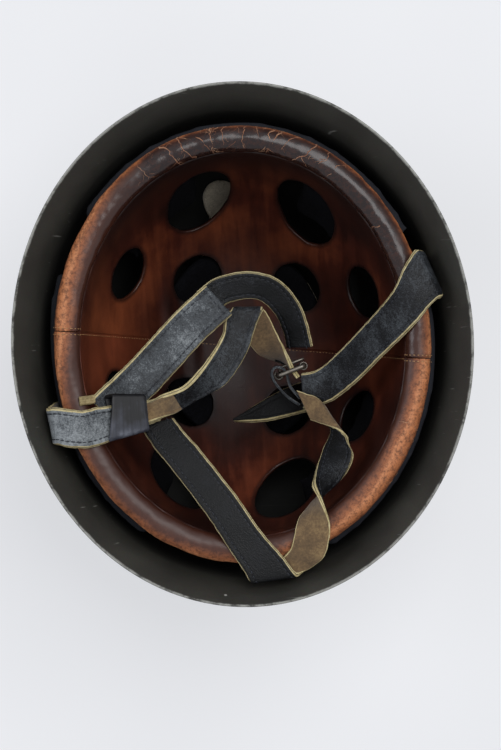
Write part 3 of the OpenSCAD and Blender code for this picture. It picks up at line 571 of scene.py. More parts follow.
def cut_open(points, faces, corner_uv, value):
    """Clips every face where its value falls below zero. Returns points, faces, UVs and values."""
    points, value, made = list(points), list(value), {}
    new_faces, new_uv, at = [], [], 0
    for face in faces:
        uvs = np.array(corner_uv[at:at + len(face)])
        at += len(face)
        corners, corner_uvs = [], []
        for n, i in enumerate(face):
            m = (n + 1) % len(face)
            k = face[m]
            if value[i] >= 0:
                corners.append(i)
                corner_uvs.append(uvs[n])
            if (value[i] >= 0) != (value[k] >= 0):
                t = value[i] / (value[i] - value[k])
                key = (min(i, k), max(i, k))
                if key not in made:
                    made[key] = len(points)
                    points.append(points[i] + (points[k] - points[i]) * t)
                    value.append(0.0)
                corners.append(made[key])
                corner_uvs.append(uvs[n] + (uvs[m] - uvs[n]) * t)
        if len(corners) > 2:
            new_faces.append(corners)
            new_uv += corner_uvs
    used = sorted({i for f in new_faces for i in f})
    renumber = {old: new for new, old in enumerate(used)}
    return (np.array([points[i] for i in used]), [[renumber[i] for i in f] for f in new_faces], new_uv,
            np.array([value[i] for i in used]))


def bonnet_out(p):
    """Which way the bonnet faces at a point, away from the head."""
    middle = SHELL_HEIGHT - BOWL_TOP
    return unit([p[0] / BOWL_HALF[0] ** 2, p[1] / BOWL_HALF[1] ** 2, (p[2] - middle) / BOWL_DEEP ** 2])


def bonnet_shape(angle, dip):
    """Point on the inside of the bonnet at a dip from 0 at the mouth to 90 at the crown, with its folds."""
    depth = BOWL_TOP + BOWL_DEEP * math.sin(math.radians(dip))
    crown = np.array([0, 0, SHELL_HEIGHT - BOWL_TOP - BOWL_DEEP])
    p = oval(angle, BOWL_HALF * math.cos(math.radians(dip)), depth) if dip < 89.99 else crown
    # Soft hollows and a few long folds on the left of the crown
    swell = 0.5 * ripple(p[0] / 26, p[1] / 26, p[2] / 26, 1)
    flat = turned(p, -BONNET_TURN)
    fold = math.exp(-((flat[1] - 6) / 24) ** 2) * math.exp(-((flat[0] + 38) / 20) ** 2)
    phase = (flat[0] + 0.12 * flat[1]) / 2.1 + 1.2 * ripple(flat[0] / 20, flat[1] / 20)
    swell += fold * 0.9 * math.sin(phase)
    # The seam pulls the leather outwards by a little
    pull = 0.15 * math.exp(-(flat[1] / 2.0) ** 2)
    return p + bonnet_out(p) * (swell * min(dip / 8, 1) + pull)


def bonnet_panel(name, start, hide, node):
    cols, rows = 190, 112
    angles = [start + 180 * j / cols for j in range(cols + 1)]
    dips = [0.52] + list(np.linspace(1.4, 88.8, rows - 1))
    points = np.array([bonnet_shape(a, d) for d in dips for a in angles] + [bonnet_shape(0, 90)])
    # Millimetres along the hide for a degree round and a degree down
    u, v = [a * 1.7 for a in angles], [d * 1.75 for d in dips]
    faces, uv = grid_faces(rows, cols + 1, u, v)
    low = (rows - 1) * (cols + 1)
    for j in range(cols):
        faces.append((low + j, low + j + 1, len(points) - 1))
        uv += [(u[j], v[-1]), (u[j + 1], v[-1]), (u[j], 157.5)]
    points, faces, uv, value = cut_open(points, faces, uv, hole_distance(points))
    mesh = make_mesh(name, points, faces, uv, materials=[hide, EDGE], closed=False,
                     edge_mm=np.minimum(value, 12))
    # The faces look into the bowl, and the leather grows outwards from them
    if mesh.polygons[len(mesh.polygons) // 2].normal.z < 0:
        mesh.flip_normals()
    obj = new_object(name, mesh)
    wall = obj.modifiers.new("leather", "SOLIDIFY")
    wall.thickness, wall.offset = LEATHER * MM, -1
    settle(obj, "helmet", "liner_leather", node)


# ---------------------------------------------------------------- padded lip

def lip_point(angle, round_way, lift=0.0, tight=1.0):
    """Point on the padded lip: round_way is 0 on its outer side and 90 on top."""
    centre = oval(angle, ROLL_HALF, ROLL_DEPTH)
    out = unit([centre[0] / ROLL_HALF[0] ** 2, centre[1] / ROLL_HALF[1] ** 2, 0])
    a = math.radians(round_way)
    return (centre + out * (ROLL_HALF_WIDTH + lift) * tight * math.cos(a)
            + np.array([0, 0, (ROLL_HALF_HEIGHT + lift) * tight * math.sin(a)]))


def lip_roll(name, start, hide, node, seed, wear):
    """Padded roll over half the mouth. wear lists how wide its orange side is, by angle from its start."""
    steps, sides, seam_gap, half_length = 300, 44, 0.12, 306
    angles = [start + seam_gap + (180 - 2 * seam_gap) * i / steps for i in range(steps + 1)]
    centres = [oval(angle, ROLL_HALF, ROLL_DEPTH) for angle in angles]
    along = np.cumsum([0.0] + [np.linalg.norm(b - a) for a, b in zip(centres, centres[1:])])
    widths = np.interp(np.linspace(0, 180, steps + 1), *zip(*wear))
    points = []
    for i, angle in enumerate(angles):
        # The roll is drawn in where the two halves are sewn, and lumpy along its length
        end = min(i, steps - i) * half_length / steps
        tight = 1 - 0.04 * math.exp(-end / 1.2)
        for j, (x, y) in enumerate(ring(sides)):
            lump = 0.4 * ripple(along[i] / 11, x, y, seed) + 0.2 * ripple(along[i] / 3.1, 1.6 * x, 1.6 * y, 5)
            points.append(lip_point(angle, 360 * j / sides, lump, tight))
    girth = (ROLL_HALF_WIDTH + ROLL_HALF_HEIGHT) * math.pi
    uv = row_uv(along, [girth * j / sides for j in range(sides + 1)]) + [(0, 0)] * 2 * sides
    mesh = make_mesh(name, points, rows_of_quads(steps + 1, sides, caps=True), uv, materials=[hide],
                     worn_mm=np.repeat(widths, sides))
    settle(mesh, "helmet", "lip_leather", node)


def lip_cracks():
    """Torn cracks across the lip: each runs inwards from the outer side in kinks and forks like a root."""
    chance = np.random.default_rng(5)
    # Millimetres for a degree round the roll and for a degree round the mouth
    round_mm, mouth_mm = 0.113, 1.75
    # Angle round the mouth, where round the roll it starts and ends, half width in millimetres, and slope
    chosen = [(109, 25, 215, 0.32, -0.35), (103.5, 5, 175, 0.36, -0.3), (99.5, 60, 150, 0.24, -0.5),
              (95, 10, 170, 0.3, -0.1), (90.5, 20, 120, 0.24, 0.1), (86, 10, 150, 0.26, 0),
              (82.5, 15, 115, 0.22, 0.1), (79, 10, 150, 0.3, 0.1), (75.5, 15, 165, 0.3, 0.2),
              (71, 20, 120, 0.24, 0.2), (66.5, 10, 160, 0.32, 0.3), (62.5, 20, 130, 0.26, 0.2),
              (58, 60, 170, 0.22, 0.3), (117, 50, 150, 0.16, -0.3), (-30, 20, 130, 0.24, 0),
              (-34, 10, 100, 0.2, 0.2), (-38, 20, 90, 0.2, -0.1), (37, 110, 170, 0.18, 0.1)]
    for count, spans in ((22, ((52, 116), (-5, 15), (35, 75), (0.12, 0.2), (-0.5, 0.5))),
                         (12, ((-48, 10), (-5, 30), (45, 80), (0.1, 0.15), (-0.5, 0.5)))):
        chosen += [tuple(chance.uniform(*span) for span in spans) for n in range(count)]
    shapes = []

    def tear(angle, begin, end, half, slope, depth):
        length = abs(end - begin) * round_mm
        steps = max(3, int(length / 1.2))
        line, radii = [], []
        for n in range(steps + 1):
            t = n / steps
            angle += (slope + chance.normal(0, 0.5)) * length / steps / mouth_mm
            way = begin + (end - begin) * t
            line.append(lip_point(angle, way, 0.02))
            radii.append(half * (1.35 - t) * chance.uniform(0.6, 1.3))
            if depth and 0.45 < t < 0.95 and chance.random() < 0.36:
                fork = slope + chance.choice((-1, 1)) * chance.uniform(0.5, 1.5)
                tear(angle, way, way + chance.uniform(12, 36), half * (1.2 - t) * 0.75, fork, depth - 1)
        shapes.append(rod(line, radii, 5))

    for crack in chosen:
        tear(*crack, 2)
    settle(joined("lip_cracks", shapes, TORN), "helmet", "lip_leather")


# ---------------------------------------------------------------- pads and felt

def clean_copy(node, name):
    """The mesh of a CAD node, with its doubles merged, as a new object."""
    mesh = NODES[node].data.copy()
    mesh.name = name
    outward(mesh, merge=0.00002)
    return new_object(name, mesh)


def blow_up(obj, swell=1.0, cap=1.4, pressure=4, frames=12):
    """Blows a mesh up as cloth from a little below its size, and caps how far it swells, in millimetres."""
    rest = np.array([v.co for v in obj.data.vertices], float)
    start = rest - np.array([v.normal for v in obj.data.vertices], float) * swell * 0.5 * MM
    obj.data.vertices.foreach_set("co", start.ravel())
    cloth = obj.modifiers.new("blown", "CLOTH")
    cloth.settings.use_pressure = True
    cloth.settings.uniform_pressure_force = pressure
    cloth.settings.quality = 5
    cloth.settings.tension_stiffness = 30
    cloth.settings.effector_weights.gravity = 0
    cloth.point_cache.frame_start, cloth.point_cache.frame_end = 1, 20
    for f in range(1, frames + 1):
        SCENE.frame_set(f)
    graph = bpy.context.evaluated_depsgraph_get()
    move = np.array([v.co for v in obj.evaluated_get(graph).data.vertices], float) - start
    obj.modifiers.remove(cloth)
    SCENE.frame_set(1)
    length = np.linalg.norm(move, axis=1, keepdims=True)
    move *= np.minimum(1, cap * MM * 0.5 / np.maximum(length, 1e-9))
    obj.data.vertices.foreach_set("co", (start + move).ravel())


def foam_pad(node):
    """A pad that starts a little small, is blown up as cloth and ends in its CAD solid's place."""
    obj = clean_copy(node, node + "_foam")
    remesh = obj.modifiers.new("voxels", "REMESH")
    remesh.mode, remesh.voxel_size = "VOXEL", 4.5 * MM
    soft = obj.modifiers.new("softer", "SMOOTH")
    soft.factor, soft.iterations = 0.5, 3
    bake(obj)
    blow_up(obj)
    obj.data.materials.clear()
    obj.data.materials.append(FOAM)
    obj.data.shade_smooth()
    finer = obj.modifiers.new("finer", "SUBSURF")
    finer.levels = finer.render_levels = 1
    settle(obj, "helmet", "foam", node)


def crown_felt():
    """Felt disc under the crown pad."""
    obj = clean_copy("crown_felt", "crown_felt_disc")
    bevel = obj.modifiers.new("soft_edge", "BEVEL")
    bevel.width, bevel.segments, bevel.angle_limit = 0.0012, 3, 0.9
    obj.data.materials.clear()
    obj.data.materials.append(WOOL)
    obj.data.shade_smooth()
    settle(obj, "helmet", "felt", "crown_felt")


def felt_patch():
    """A round patch of the same felt low on the forehead wall."""
    sides, points = 48, []
    # Share of the patch's radius, and how far inside the wall it lies there
    rings = [(0.04, 6.6), (0.35, 6.5), (0.7, 6.3), (0.9, 5.9), (0.97, 5.0), (1, 4.0), (1, 2.4), (0.96, 1.7)]
    for share, inset in rings:
        for x, y in ring(sides):
            edge = share * (1 + 0.03 * ripple(x * 2, y * 2, 0, 6))
            depth = 126 + 11.7 * edge * y
            points.append(oval(95.2 + 6.9 * edge * x, wall_half(depth) - inset, depth))
    shape = points, rows_of_quads(len(rings), sides, caps=True)
    settle(joined("front_felt_patch", [shape], WOOL), "helmet", "felt", "felt_patch")


# ---------------------------------------------------------------- straps

KNOT = np.array([-64, -35.8, 141.8])
KNOT_ALONG = unit([10, 2, -4.5])
KNOT_ACROSS = unit([2, -10, 0])
KNOT_UP = np.cross(KNOT_ACROSS, KNOT_ALONG)
STRAP_THICK, WALL_GAP = 2.7, 1.1
# The materials of a strap: its top, the pale cut edge, its flesh side and the groove between the plies
TOP, PLY, FLESH, GROOVE = range(4)
STRAP_LAYERS = (GRAIN, EDGE, SUEDE, BLACK_THREAD)


def at_knot(s, u, v):
    """Point by the keeper: along its strap, across it and above it."""
    return list(KNOT + KNOT_ALONG * s + KNOT_ACROSS * u + KNOT_UP * v)


def wall_run(angle):
    """Stations up the inside of the shell, from below the rivets."""
    return [list(oval(angle, wall_half(d) - STRAP_THICK / 2 - WALL_GAP, d)) for d in (66, 52, 40, 30)]


class Strap:
    """Two plies of leather along a path, in millimetres. Its surface can be asked for places to sew."""

    def __init__(self, path, across, width, thick=STRAP_THICK, grain=1, slanted=False, taper=None, steps=8,
                 wave=0.3, seed=0, trim=(1, 1)):
        self.centre = smooth_line(path, steps)
        lines = smooth_line(across, steps)
        last = len(self.centre) - 1
        widths = smooth_line(taper, steps)[:, 0] if taper else np.ones(last + 1)
        self.run = np.cumsum([0.0] + [np.linalg.norm(b - a) for a, b in zip(self.centre, self.centre[1:])])
        self.side, self.face, self.half = [], [], []
        for i in range(last + 1):
            along = unit(self.centre[min(i + 1, last)] - self.centre[max(i - 1, 0)])
            line = lines[i] if slanted else unit(lines[i] - along * (lines[i] @ along))
            self.side.append(unit(line))
            self.face.append(unit(np.cross(along, line)) * grain)
            self.half.append(np.linalg.norm(line) * widths[i] * width / 2)
        # How much of the pale ply shows beside each edge of the grain, at each station
        self.trim = smooth_line(trim, steps) if np.ndim(trim) == 2 else [trim] * (last + 1)
        self.thick, self.wave, self.seed = thick, wave, seed

    def place(self, i, across, lift):
        """Point at a station, across millimetres from the middle and lift above the middle of the plies."""
        run, side = self.run[i], 1 if across > 0 else -1
        wave = self.wave * ripple(run / 11, across / 9, 0, 3 + self.seed)
        if abs(across) > self.half[i] - 1.2:
            # A cut edge is a little ragged
            across += 0.3 * ripple(run / 3.2, side, 0, 8 + self.seed)
        return self.centre[i] + self.side[i] * across + self.face[i] * (lift + wave)

    def profile(self, half, trim):
        """Points round the cross section with the material of the span that follows each."""
        t = self.thick / 2
        sew_at = max(half - 3.0, half * 0.3)
        fine = min(1.0, half / 4)
        seen = [(0.55 + 0.7 * float(np.clip(t, 0, 1))) * fine for t in trim]
        edge = [-half + 0.1 * fine, -sew_at - 0.5 * fine, -sew_at, -sew_at + 0.6 * fine]
        top = [-half + seen[0], edge[0] + seen[0] + 0.4 * fine] + edge[1:]
        top += list(np.linspace(-sew_at + 1.2 * fine, sew_at - 1.2 * fine, 5))
        top += [-x for x in reversed(edge[1:])] + [-edge[0] - seen[1] - 0.4 * fine, half - seen[1]]
        # The rows of stitches press a dent into the top, and its edges are rounded
        drop = {0: 0.12, 3: 0.4, 11: 0.4, 14: 0.12}
        section = [(x, t - drop.get(n, 0), TOP) for n, x in enumerate(top)]
        if trim[1] > 0.3:
            section[-1] = (*section[-1][:2], PLY)
        section += [(half - 0.45 * fine, t * 0.72, PLY), (half - 0.3 * fine, 0.12, GROOVE),
                    (half - 0.65 * fine, 0.0, GROOVE), (half - 0.1 * fine, -0.1, PLY),
                    (half + 0.25 * fine, -t * 0.4, PLY), (half + 0.15 * fine, -t * 0.85, PLY),
                    (half - 0.3 * fine, -t, FLESH)]
        section += [(x, -t, FLESH) for x in np.linspace(half - 2, -half + 2, 7)]
        section += [(-half + 0.3 * fine, -t, PLY), (-half - 0.15 * fine, -t * 0.85, PLY),
                    (-half - 0.25 * fine, -t * 0.4, PLY), (-half + 0.1 * fine, -0.1, GROOVE),
                    (-half + 0.65 * fine, 0.0, GROOVE), (-half + 0.3 * fine, 0.12, PLY),
                    (-half + 0.45 * fine, t * 0.72, PLY if trim[0] > 0.3 else TOP)]
        return section

    def mesh(self, name, rubbed, first=0, last=None, suede_to=-1, materials=STRAP_LAYERS):
        """Closed mesh of the stations from first to last. Up to suede_to along it the top is suede too."""
        stations = range(first, len(self.run) if last is None else last + 1)
        sections = [self.profile(self.half[i], self.trim[i]) for i in stations]
        sides = len(sections[0])
        points, rub, rounds = [], [], []
        for i, section in zip(stations, sections):
            for x, lift, _ in section:
                points.append(self.place(i, x, lift))
                near = (abs(x) - self.half[i] + 2.4) / 2.4
                uneven = 0.12 * ripple(self.run[i] / 30, x / 12, 0, self.seed)
                rub.append(rubbed + 0.16 * max(near, 0) ** 2 + uneven)
            spans = zip(section, section[1:] + section[:1])
            rounds.append(np.cumsum([0.0] + [math.hypot(b[0] - a[0], b[1] - a[1]) for a, b in spans]))
        faces, uv = rows_of_quads(len(sections), sides), row_uv(self.run[first:stations.stop], rounds)
        slots = [FLESH if slot == TOP and run <= suede_to else slot
                 for run, section in zip(self.run[first:], sections[:-1]) for _, _, slot in section]
        # Each end is closed by a fan to its middle, in the cut edge's material
        for start, turn in ((0, 1), (len(points) - sides, -1)):
            points.append(np.mean(points[start:start + sides], axis=0))
            rub.append(0.0)
            for j in range(sides):
                faces.append((len(points) - 1, *(start + j, start + (j + 1) % sides)[::turn]))
                uv += [(0, 0), (0.5, 0), (0.5, 0.5)]
                slots.append(PLY)
        return make_mesh(name, points, faces, uv, slots, materials, rubbed=rub)

    def seams(self, inset, first=0, last=None):
        """Lines of points along both edges, inset from them, where stitches lie on the top."""
        stations = range(first, len(self.run) if last is None else last + 1)
        return [[self.place(i, side * (self.half[i] - inset), self.thick / 2 - 0.14) for i in stations]
                for side in (1, -1)]

    def seam_across(self, back, inset):
        """Line of points across the strap, back millimetres from its last station."""
        i = int(np.argmin(np.abs(self.run - (self.run[-1] - back))))
        reach = self.half[i] - inset
        return [self.place(i, x, self.thick / 2 - 0.05) for x in np.linspace(-reach, reach, 14)]


def new_tree(name, **inputs):
    """A Geometry Nodes tree with named inputs, what adds its nodes, and the sockets of its inputs."""
    tree = bpy.data.node_groups.new(name, "GeometryNodeTree")
    for key, kind in {"Geometry": "Geometry", **inputs}.items():
        tree.interface.new_socket(key.replace("_", " "), in_out="INPUT", socket_type="NodeSocket" + kind)
    tree.interface.new_socket("Geometry", in_out="OUTPUT", socket_type="NodeSocketGeometry")
    add = partial(add_node, tree)
    return tree, add, add("NodeGroupInput").outputs


def use_tree(obj, tree, **values):
    """Puts a tree on an object, sets its inputs and keeps the result as a plain mesh."""
    modifier = obj.modifiers.new(tree.name, "NODES")
    modifier.node_group = tree
    for item in tree.interface.items_tree:
        key = item.name.replace(" ", "_")
        if item.in_out == "INPUT" and key in values:
            modifier[item.identifier] = values[key]
    bake(obj)
    obj.data.shade_smooth()


def stitch_tree():
    """Lays small waxed stitches end to end along lines."""
    tree, add, given = new_tree("row_of_stitches", Pitch="Float", Stitch_Length="Float", Thread="Float",
                                Seed="Int", Material="Material")
    curve = add("GeometryNodeMeshToCurve", given["Geometry"])
    spaced = add("GeometryNodeResampleCurve", curve, Length=given["Pitch"], mode="LENGTH")
    turn = add("FunctionNodeAlignRotationToVector", Vector=add("GeometryNodeInputTangent"), axis="X")
    bead = add("GeometryNodeMeshUVSphere", 6, 5, 0.5)
    size = add("CombineXYZ", given["Stitch Length"], given["Thread"], given["Thread"])
    vary = add("FunctionNodeRandomValue", 0.85, 1.1, Seed=given["Seed"], data_type="FLOAT")
    scale = add("VectorMath", size, vary, operation="SCALE")
    laid = add("GeometryNodeInstanceOnPoints", spaced, Instance=bead, Rotation=turn, Scale=scale)
    real = add("GeometryNodeRealizeInstances", laid)
    add("NodeGroupOutput", add("GeometryNodeSetMaterial", real, Material=given["Material"]))
    return tree


STITCHES = stitch_tree()


def sew(name, lines, material=BLACK_THREAD, pitch=3.1, length=2.8, thick=0.75):
    """Stitches along lines of points."""
    ends = np.cumsum([len(line) for line in lines])
    points = [tuple(p * MM) for line in lines for p in line]
    mesh = bpy.data.meshes.new(name)
    mesh.from_pydata(points, [(n, n + 1) for n in range(len(points)) if n + 1 not in ends], [])
    obj = new_object(name, mesh)
    use_tree(obj, STITCHES, Pitch=pitch * MM, Stitch_Length=length * MM, Thread=thick * MM, Seed=3,
             Material=material)
    return obj


def strap_piece(mesh, *nodes, rows=(), slot="strap_leather", body=None, bend=None):
    """A strap and the rows of stitches on it. They ride on a body; when bend is given they stay in place on
    no body, and bend's bodies and points are not used."""
    name = mesh.name
    stitches = [sew(name.replace("_leather", "_stitches"), rows)] if rows else []
    obj = new_object(name, mesh)
    for piece in [obj] + stitches:
        if bend:
            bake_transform(piece)
        else:
            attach(piece, body)
    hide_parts(*nodes)


def left_side_strap():
    # From its rivets up the wall, over the lip and under the keeper
    path = wall_run(LEFT_STRAP_ANGLE)
    path += [[-105.8, -37.2, 141], [-106.2, -37.8, 147], [-105.2, -38, 150.6], [-102, -38, 153.5],
             [-95, -39.5, 155], [-88, -40.4, 153.3], at_knot(-17.8, 0, 0.3)]
    path += [at_knot(s, 0, 0) for s in (-10, 0, 8, 17)]
    across = [[0.25, -0.97, 0]] * 4 + [[0.22, -0.97, 0], [0.15, -1, 0], [0.1, -1, 0], [0.1, -1, 0]]
    across += [[0.1, -1, 0.03], [0.1, -1, 0.05]] + [[0.2, -1, 0]] * 5
    strap = Strap(path, across, 20, grain=-1, seed=1, trim=(0.9, 0.4),
                  taper=[1] * 10 + [0.98, 0.88, 0.8, 0.66, 0.6])
    strap_piece(strap.mesh("left_side_strap_leather", 0.36), "left_strap_root", "left_side_strap",
                rows=strap.seams(3), bend=("helmet", "harness", (-105.4, -38, 150.2), (-98, -38.8, 154.7)))


def right_side_strap():
    # From its rivets up the wall, over the lip and down across the bowl to the buckle end
    path = wall_run(RIGHT_STRAP_ANGLE)
    path += [[104.8, 33, 141], [104.8, 32.6, 147], [103.6, 32.3, 150.9], [101, 31.7, 154],
             [95.5, 25.5, 155.3], [90, 17, 153.6], [82.5, 8.5, 146.5], [71, -3, 132.5],
             [59, -15, 117.5], [48, -24, 105.5], [40, -27.5, 100.5], [32.5, -28.5, 98.5]]
    across = [[0.23, -0.97, 0]] * 4
    across += [[0.35, -1.05, 0], [0.45, -1.2, 0], [0.55, -1.3, 0], [0.55, -1.3, 0],
               [0.6, -1.1, 0], [0.62, -0.85, 0.08], [0.6, -0.78, 0.2], [0.55, -0.76, 0.25],
               [0.5, -0.8, 0.25], [0.3, -0.92, 0.15], [0.1, -0.98, 0], [0, -1, 0]]
    strap = Strap(path, across, 20, slanted=True, seed=2, trim=(0.6, 0.8))
    strap_piece(strap.mesh("right_side_strap_leather", 0.02), "right_strap_root", "right_side_strap",
                rows=strap.seams(3.2), bend=("helmet", "harness", (103.8, 32.4, 150.4), (97, 27.5, 154.8)))


def strap_tail():
    # Tapered tail under the buckle end of the right strap
    strap = Strap([[42, -30, 92.5], [34, -32, 86], [24, -35, 78.8], [8, -40, 74], [-8, -44, 70]],
                  [[0, -1, 0], [0.1, -0.98, 0.1], [0.2, -0.92, 0.2], [0.25, -0.9, 0.3], [0.25, -0.9, 0.35]],
                  19, taper=[0.9, 0.9, 0.85, 0.6, 0.08], seed=3, trim=(0, 1))
    strap_piece(strap.mesh("strap_tail_leather", -0.3), "right_strap_tail", body="harness")


def neck_strap():
    # Its root and left leg, the fold at the back, and the right leg with its wrap round the right strap
    path = [[-50.2, -40, 131.4], [-47.5, -43.8, 132.6], [-45.2, -47.3, 134],
            [-42.3, -51.4, 136], [-34, -62, 140.8], [-17, -86, 149.2], [-5, -106, 152.5],
            [4, -119, 153.6], [9, -127, 152.7], [14, -125, 149.4], [22, -120, 149.6], [28, -114.5, 152.2],
            [31, -106.5, 153], [33, -98, 150.6], [35, -91, 148.2], [37.5, -85, 145], [41, -79, 141],
            [45, -72, 134], [49, -63, 126], [51, -55.5, 119],
            [50.25, -51.2, 114.2], [48, -45.9, 111.1], [43.5, -41, 108.2], [38, -38.5, 105.6],
            [33, -36.5, 103.1]]
    across = [[0.98, 0.2, 0], [0.98, 0.2, 0], [0.92, 0.3, 0], [0.87, 0.42, 0], [0.84, 0.5, 0],
              [0.84, 0.52, 0], [0.9, 0.5, 0], [1.1, 0.35, 0], [1.3, 0.15, 0], [1.25, 0, 0],
              [1.05, -0.15, 0], [0.97, -0.2, 0],
              [0.97, -0.15, 0.1], [0.85, -0.1, 0.5], [0.4, 0, 0.9], [-0.1, 0, 1], [-0.75, 0, 0.65],
              [-0.98, -0.05, 0.1], [-0.85, 0.15, -0.5], [-0.45, 0.3, -0.84],
              [-0.45, 0.35, -0.82], [-0.35, 0.65, -0.65], [-0.3, 0.85, -0.4], [-0.35, 0.88, -0.25],
              [-0.35, 0.88, -0.25]]
    strap = Strap(path, across, 19, slanted=True, seed=4, trim=(0.25, 0.5))
    # The two legs meet at the fold over the rear rim, nine stations of eight steps on
    fold, end = 9 * 8, len(strap.run) - 1
    strap_piece(strap.mesh("neck_strap_left_leather", -0.26, 0, fold), "neck_strap_root",
                rows=strap.seams(3.2, 0, fold),
                bend=("harness", "neck_strap", (-45, -47.7, 134.2), (-38.5, -56, 138.4)))
    strap_piece(strap.mesh("neck_strap_right_leather", -0.1, fold, end), "neck_strap", "neck_strap_wrap",
                rows=strap.seams(3.2, fold, end),
                bend=("neck_strap", "harness", (49, -63, 126), (49.5, -50, 113.8)))


def chin_strap():
    # From under the keeper to its free end
    path = [at_knot(-12, -5.3, -5.7), at_knot(-5, -9, -6), at_knot(4, -13.5, -6.2),
            [-56.6, -14.8, 131.1], [-43, -1.5, 126.5], [-28, 13, 122], [-12, 26, 118.5]]
    across = [list(KNOT_ALONG * 0.42 + KNOT_ACROSS * 0.91)] * 2
    across += [list(KNOT_ALONG * 0.48 + KNOT_ACROSS * 0.86), [0.78, -0.63, 0], [0.78, -0.63, 0],
               [0.76, -0.65, 0], [0.72, -0.7, 0]]
    strap = Strap(path, across, 22, grain=-1, seed=5, steps=10, trim=(1, 0.25))
    strap_piece(strap.mesh("chin_strap_leather", 0.2), "chin_strap_root", "chin_strap",
                rows=strap.seams(3.4) + [strap.seam_across(3.2, 3.4)],
                bend=("harness", "chin_strap", (-62, -20, 132.5), (-53, -11, 130)))


def chin_strap_extension():
    # The piece that carries the chin strap on round to the buckle
    strap = Strap([[-19, 24.8, 114], [-12, 30, 113.4], [-4, 32.5, 113.2], [7.5, 33, 112.5], [18, 28.8, 110.2],
                   [26, 19, 106], [30.5, 7, 100.5], [32, -3, 96.5]],
                  [[0.6, -0.78, -0.1], [0.5, -0.85, -0.2], [0.3, -0.9, -0.3], [-0.05, -0.92, -0.38],
                   [-0.5, -0.76, -0.4], [-0.76, -0.5, -0.45], [-0.82, -0.2, -0.55], [-0.85, -0.2, -0.5]],
                  16, grain=-1, seed=6, trim=(0.2, 0.35))
    strap_piece(strap.mesh("chin_strap_extension_leather", -0.14), "chin_strap_extension",
                rows=strap.seams(2.8), body="chin_strap")


def running_strap():
    # From the keeper, up beside the chin strap, folded back to the buckle
    path = [at_knot(-6, 0, 3.36), at_knot(3, 0, 3.36), at_knot(11.5, 0, 3.6), at_knot(17.5, -1, 8.2),
            [-40.5, -29.3, 139.2], [-30, -24.7, 131.1], [-16, -15, 121.5], [-5, 0, 115.5], [-1, 11.5, 113.2],
            [2.6, 18.4, 112.4], [4, 20, 110.2], [4.8, 18.3, 107.8], [8, 10.5, 105.4], [14.2, -0.6, 101.5],
            [18.8, -5.2, 98.2], [23.6, -10.2, 94.5], [27.8, -16, 91.5], [30.4, -20.6, 90.8]]
    across = [[0.2, -1, 0], [0.2, -1, 0], [0.2, -1, 0], [0.25, -0.85, -0.42], [0.27, -0.6, -0.75],
              [0.27, -0.5, -0.82], [0.56, -0.78, -0.25], [0.76, -0.62, -0.1], [0.95, -0.4, 0],
              [1.02, -0.15, 0], [1.02, -0.05, 0], [1, 0.1, 0], [0.95, 0.4, 0.05], [0.78, 0.4, 0.4],
              [0.5, 0.35, 0.75], [0.2, 0.12, 0.97], [0, 0, 1], [0, 0, 1]]
    strap = Strap(path, across, 17, grain=-1, slanted=True, seed=7, taper=[0.7] * 2 + [0.62, 0.75] + [1] * 14,
                  trim=[(0.2, 1)] * 4 + [(1, 0.2)] * 6 + [(0, 1)] * 8)
    # The prong lies in a slot through the strap, with room to lift
    slot = buckle_box((-1.9, -6.5, PRONG_LIFT - 1.9), (1.9, 7.5, PRONG_LIFT + 6))
    mesh = cut_away(strap.mesh("running_strap_leather", 0.06, suede_to=33), slot)
    strap_piece(mesh, "running_strap_end", "running_strap", rows=strap.seams(2.9, 36),
                bend=("harness", "chin_strap", (-33, -26.5, 133.3), (-26, -22, 128.3)))


def buckle_loop():
    # Narrow loop of leather that holds the buckle, open in the middle for the prong's eye
    path = [[30.4, -36.4, 92], [23.4, -31, 92], [17.6, -23.5, 92], [15.6, -17.8, 92], [17.4, -14.2, 92],
            [21.4, -14.4, 92], [24, -18, 92], [25.8, -25.5, 92], [30.9, -32.6, 92]]
    strap = Strap(path, [[0, 0, 1]] * 9, 12, thick=1.6, grain=-1, seed=8, wave=0.1)
    gap = buckle_rings([(-1.8, 7.3), (1.8, 7.3)], 32, -BUCKLE_REACH)
    # Its edges are black like its grain
    mesh = strap.mesh("buckle_loop_leather", 0.1, materials=(GRAIN, GRAIN, SUEDE, BLACK_THREAD))
    strap_piece(cut_away(mesh, gap), "buckle_chape", body="chin_strap")


def straw_tab():
    # Short straw coloured tab beside the keeper
    path = [[-90, -25.2, 151.15], [-86.2, -24.9, 149.05], [-82.2, -24.5, 146.65]]
    strap = Strap(path, [[0.1, -1, 0]] * 3, 4.5, thick=1.4, grain=-1, seed=9, wave=0.15)
    strap_piece(strap.mesh("straw_tab", 0, materials=[STRAW] * 4), "leather_tab",
                body="helmet", slot="tan_leather")


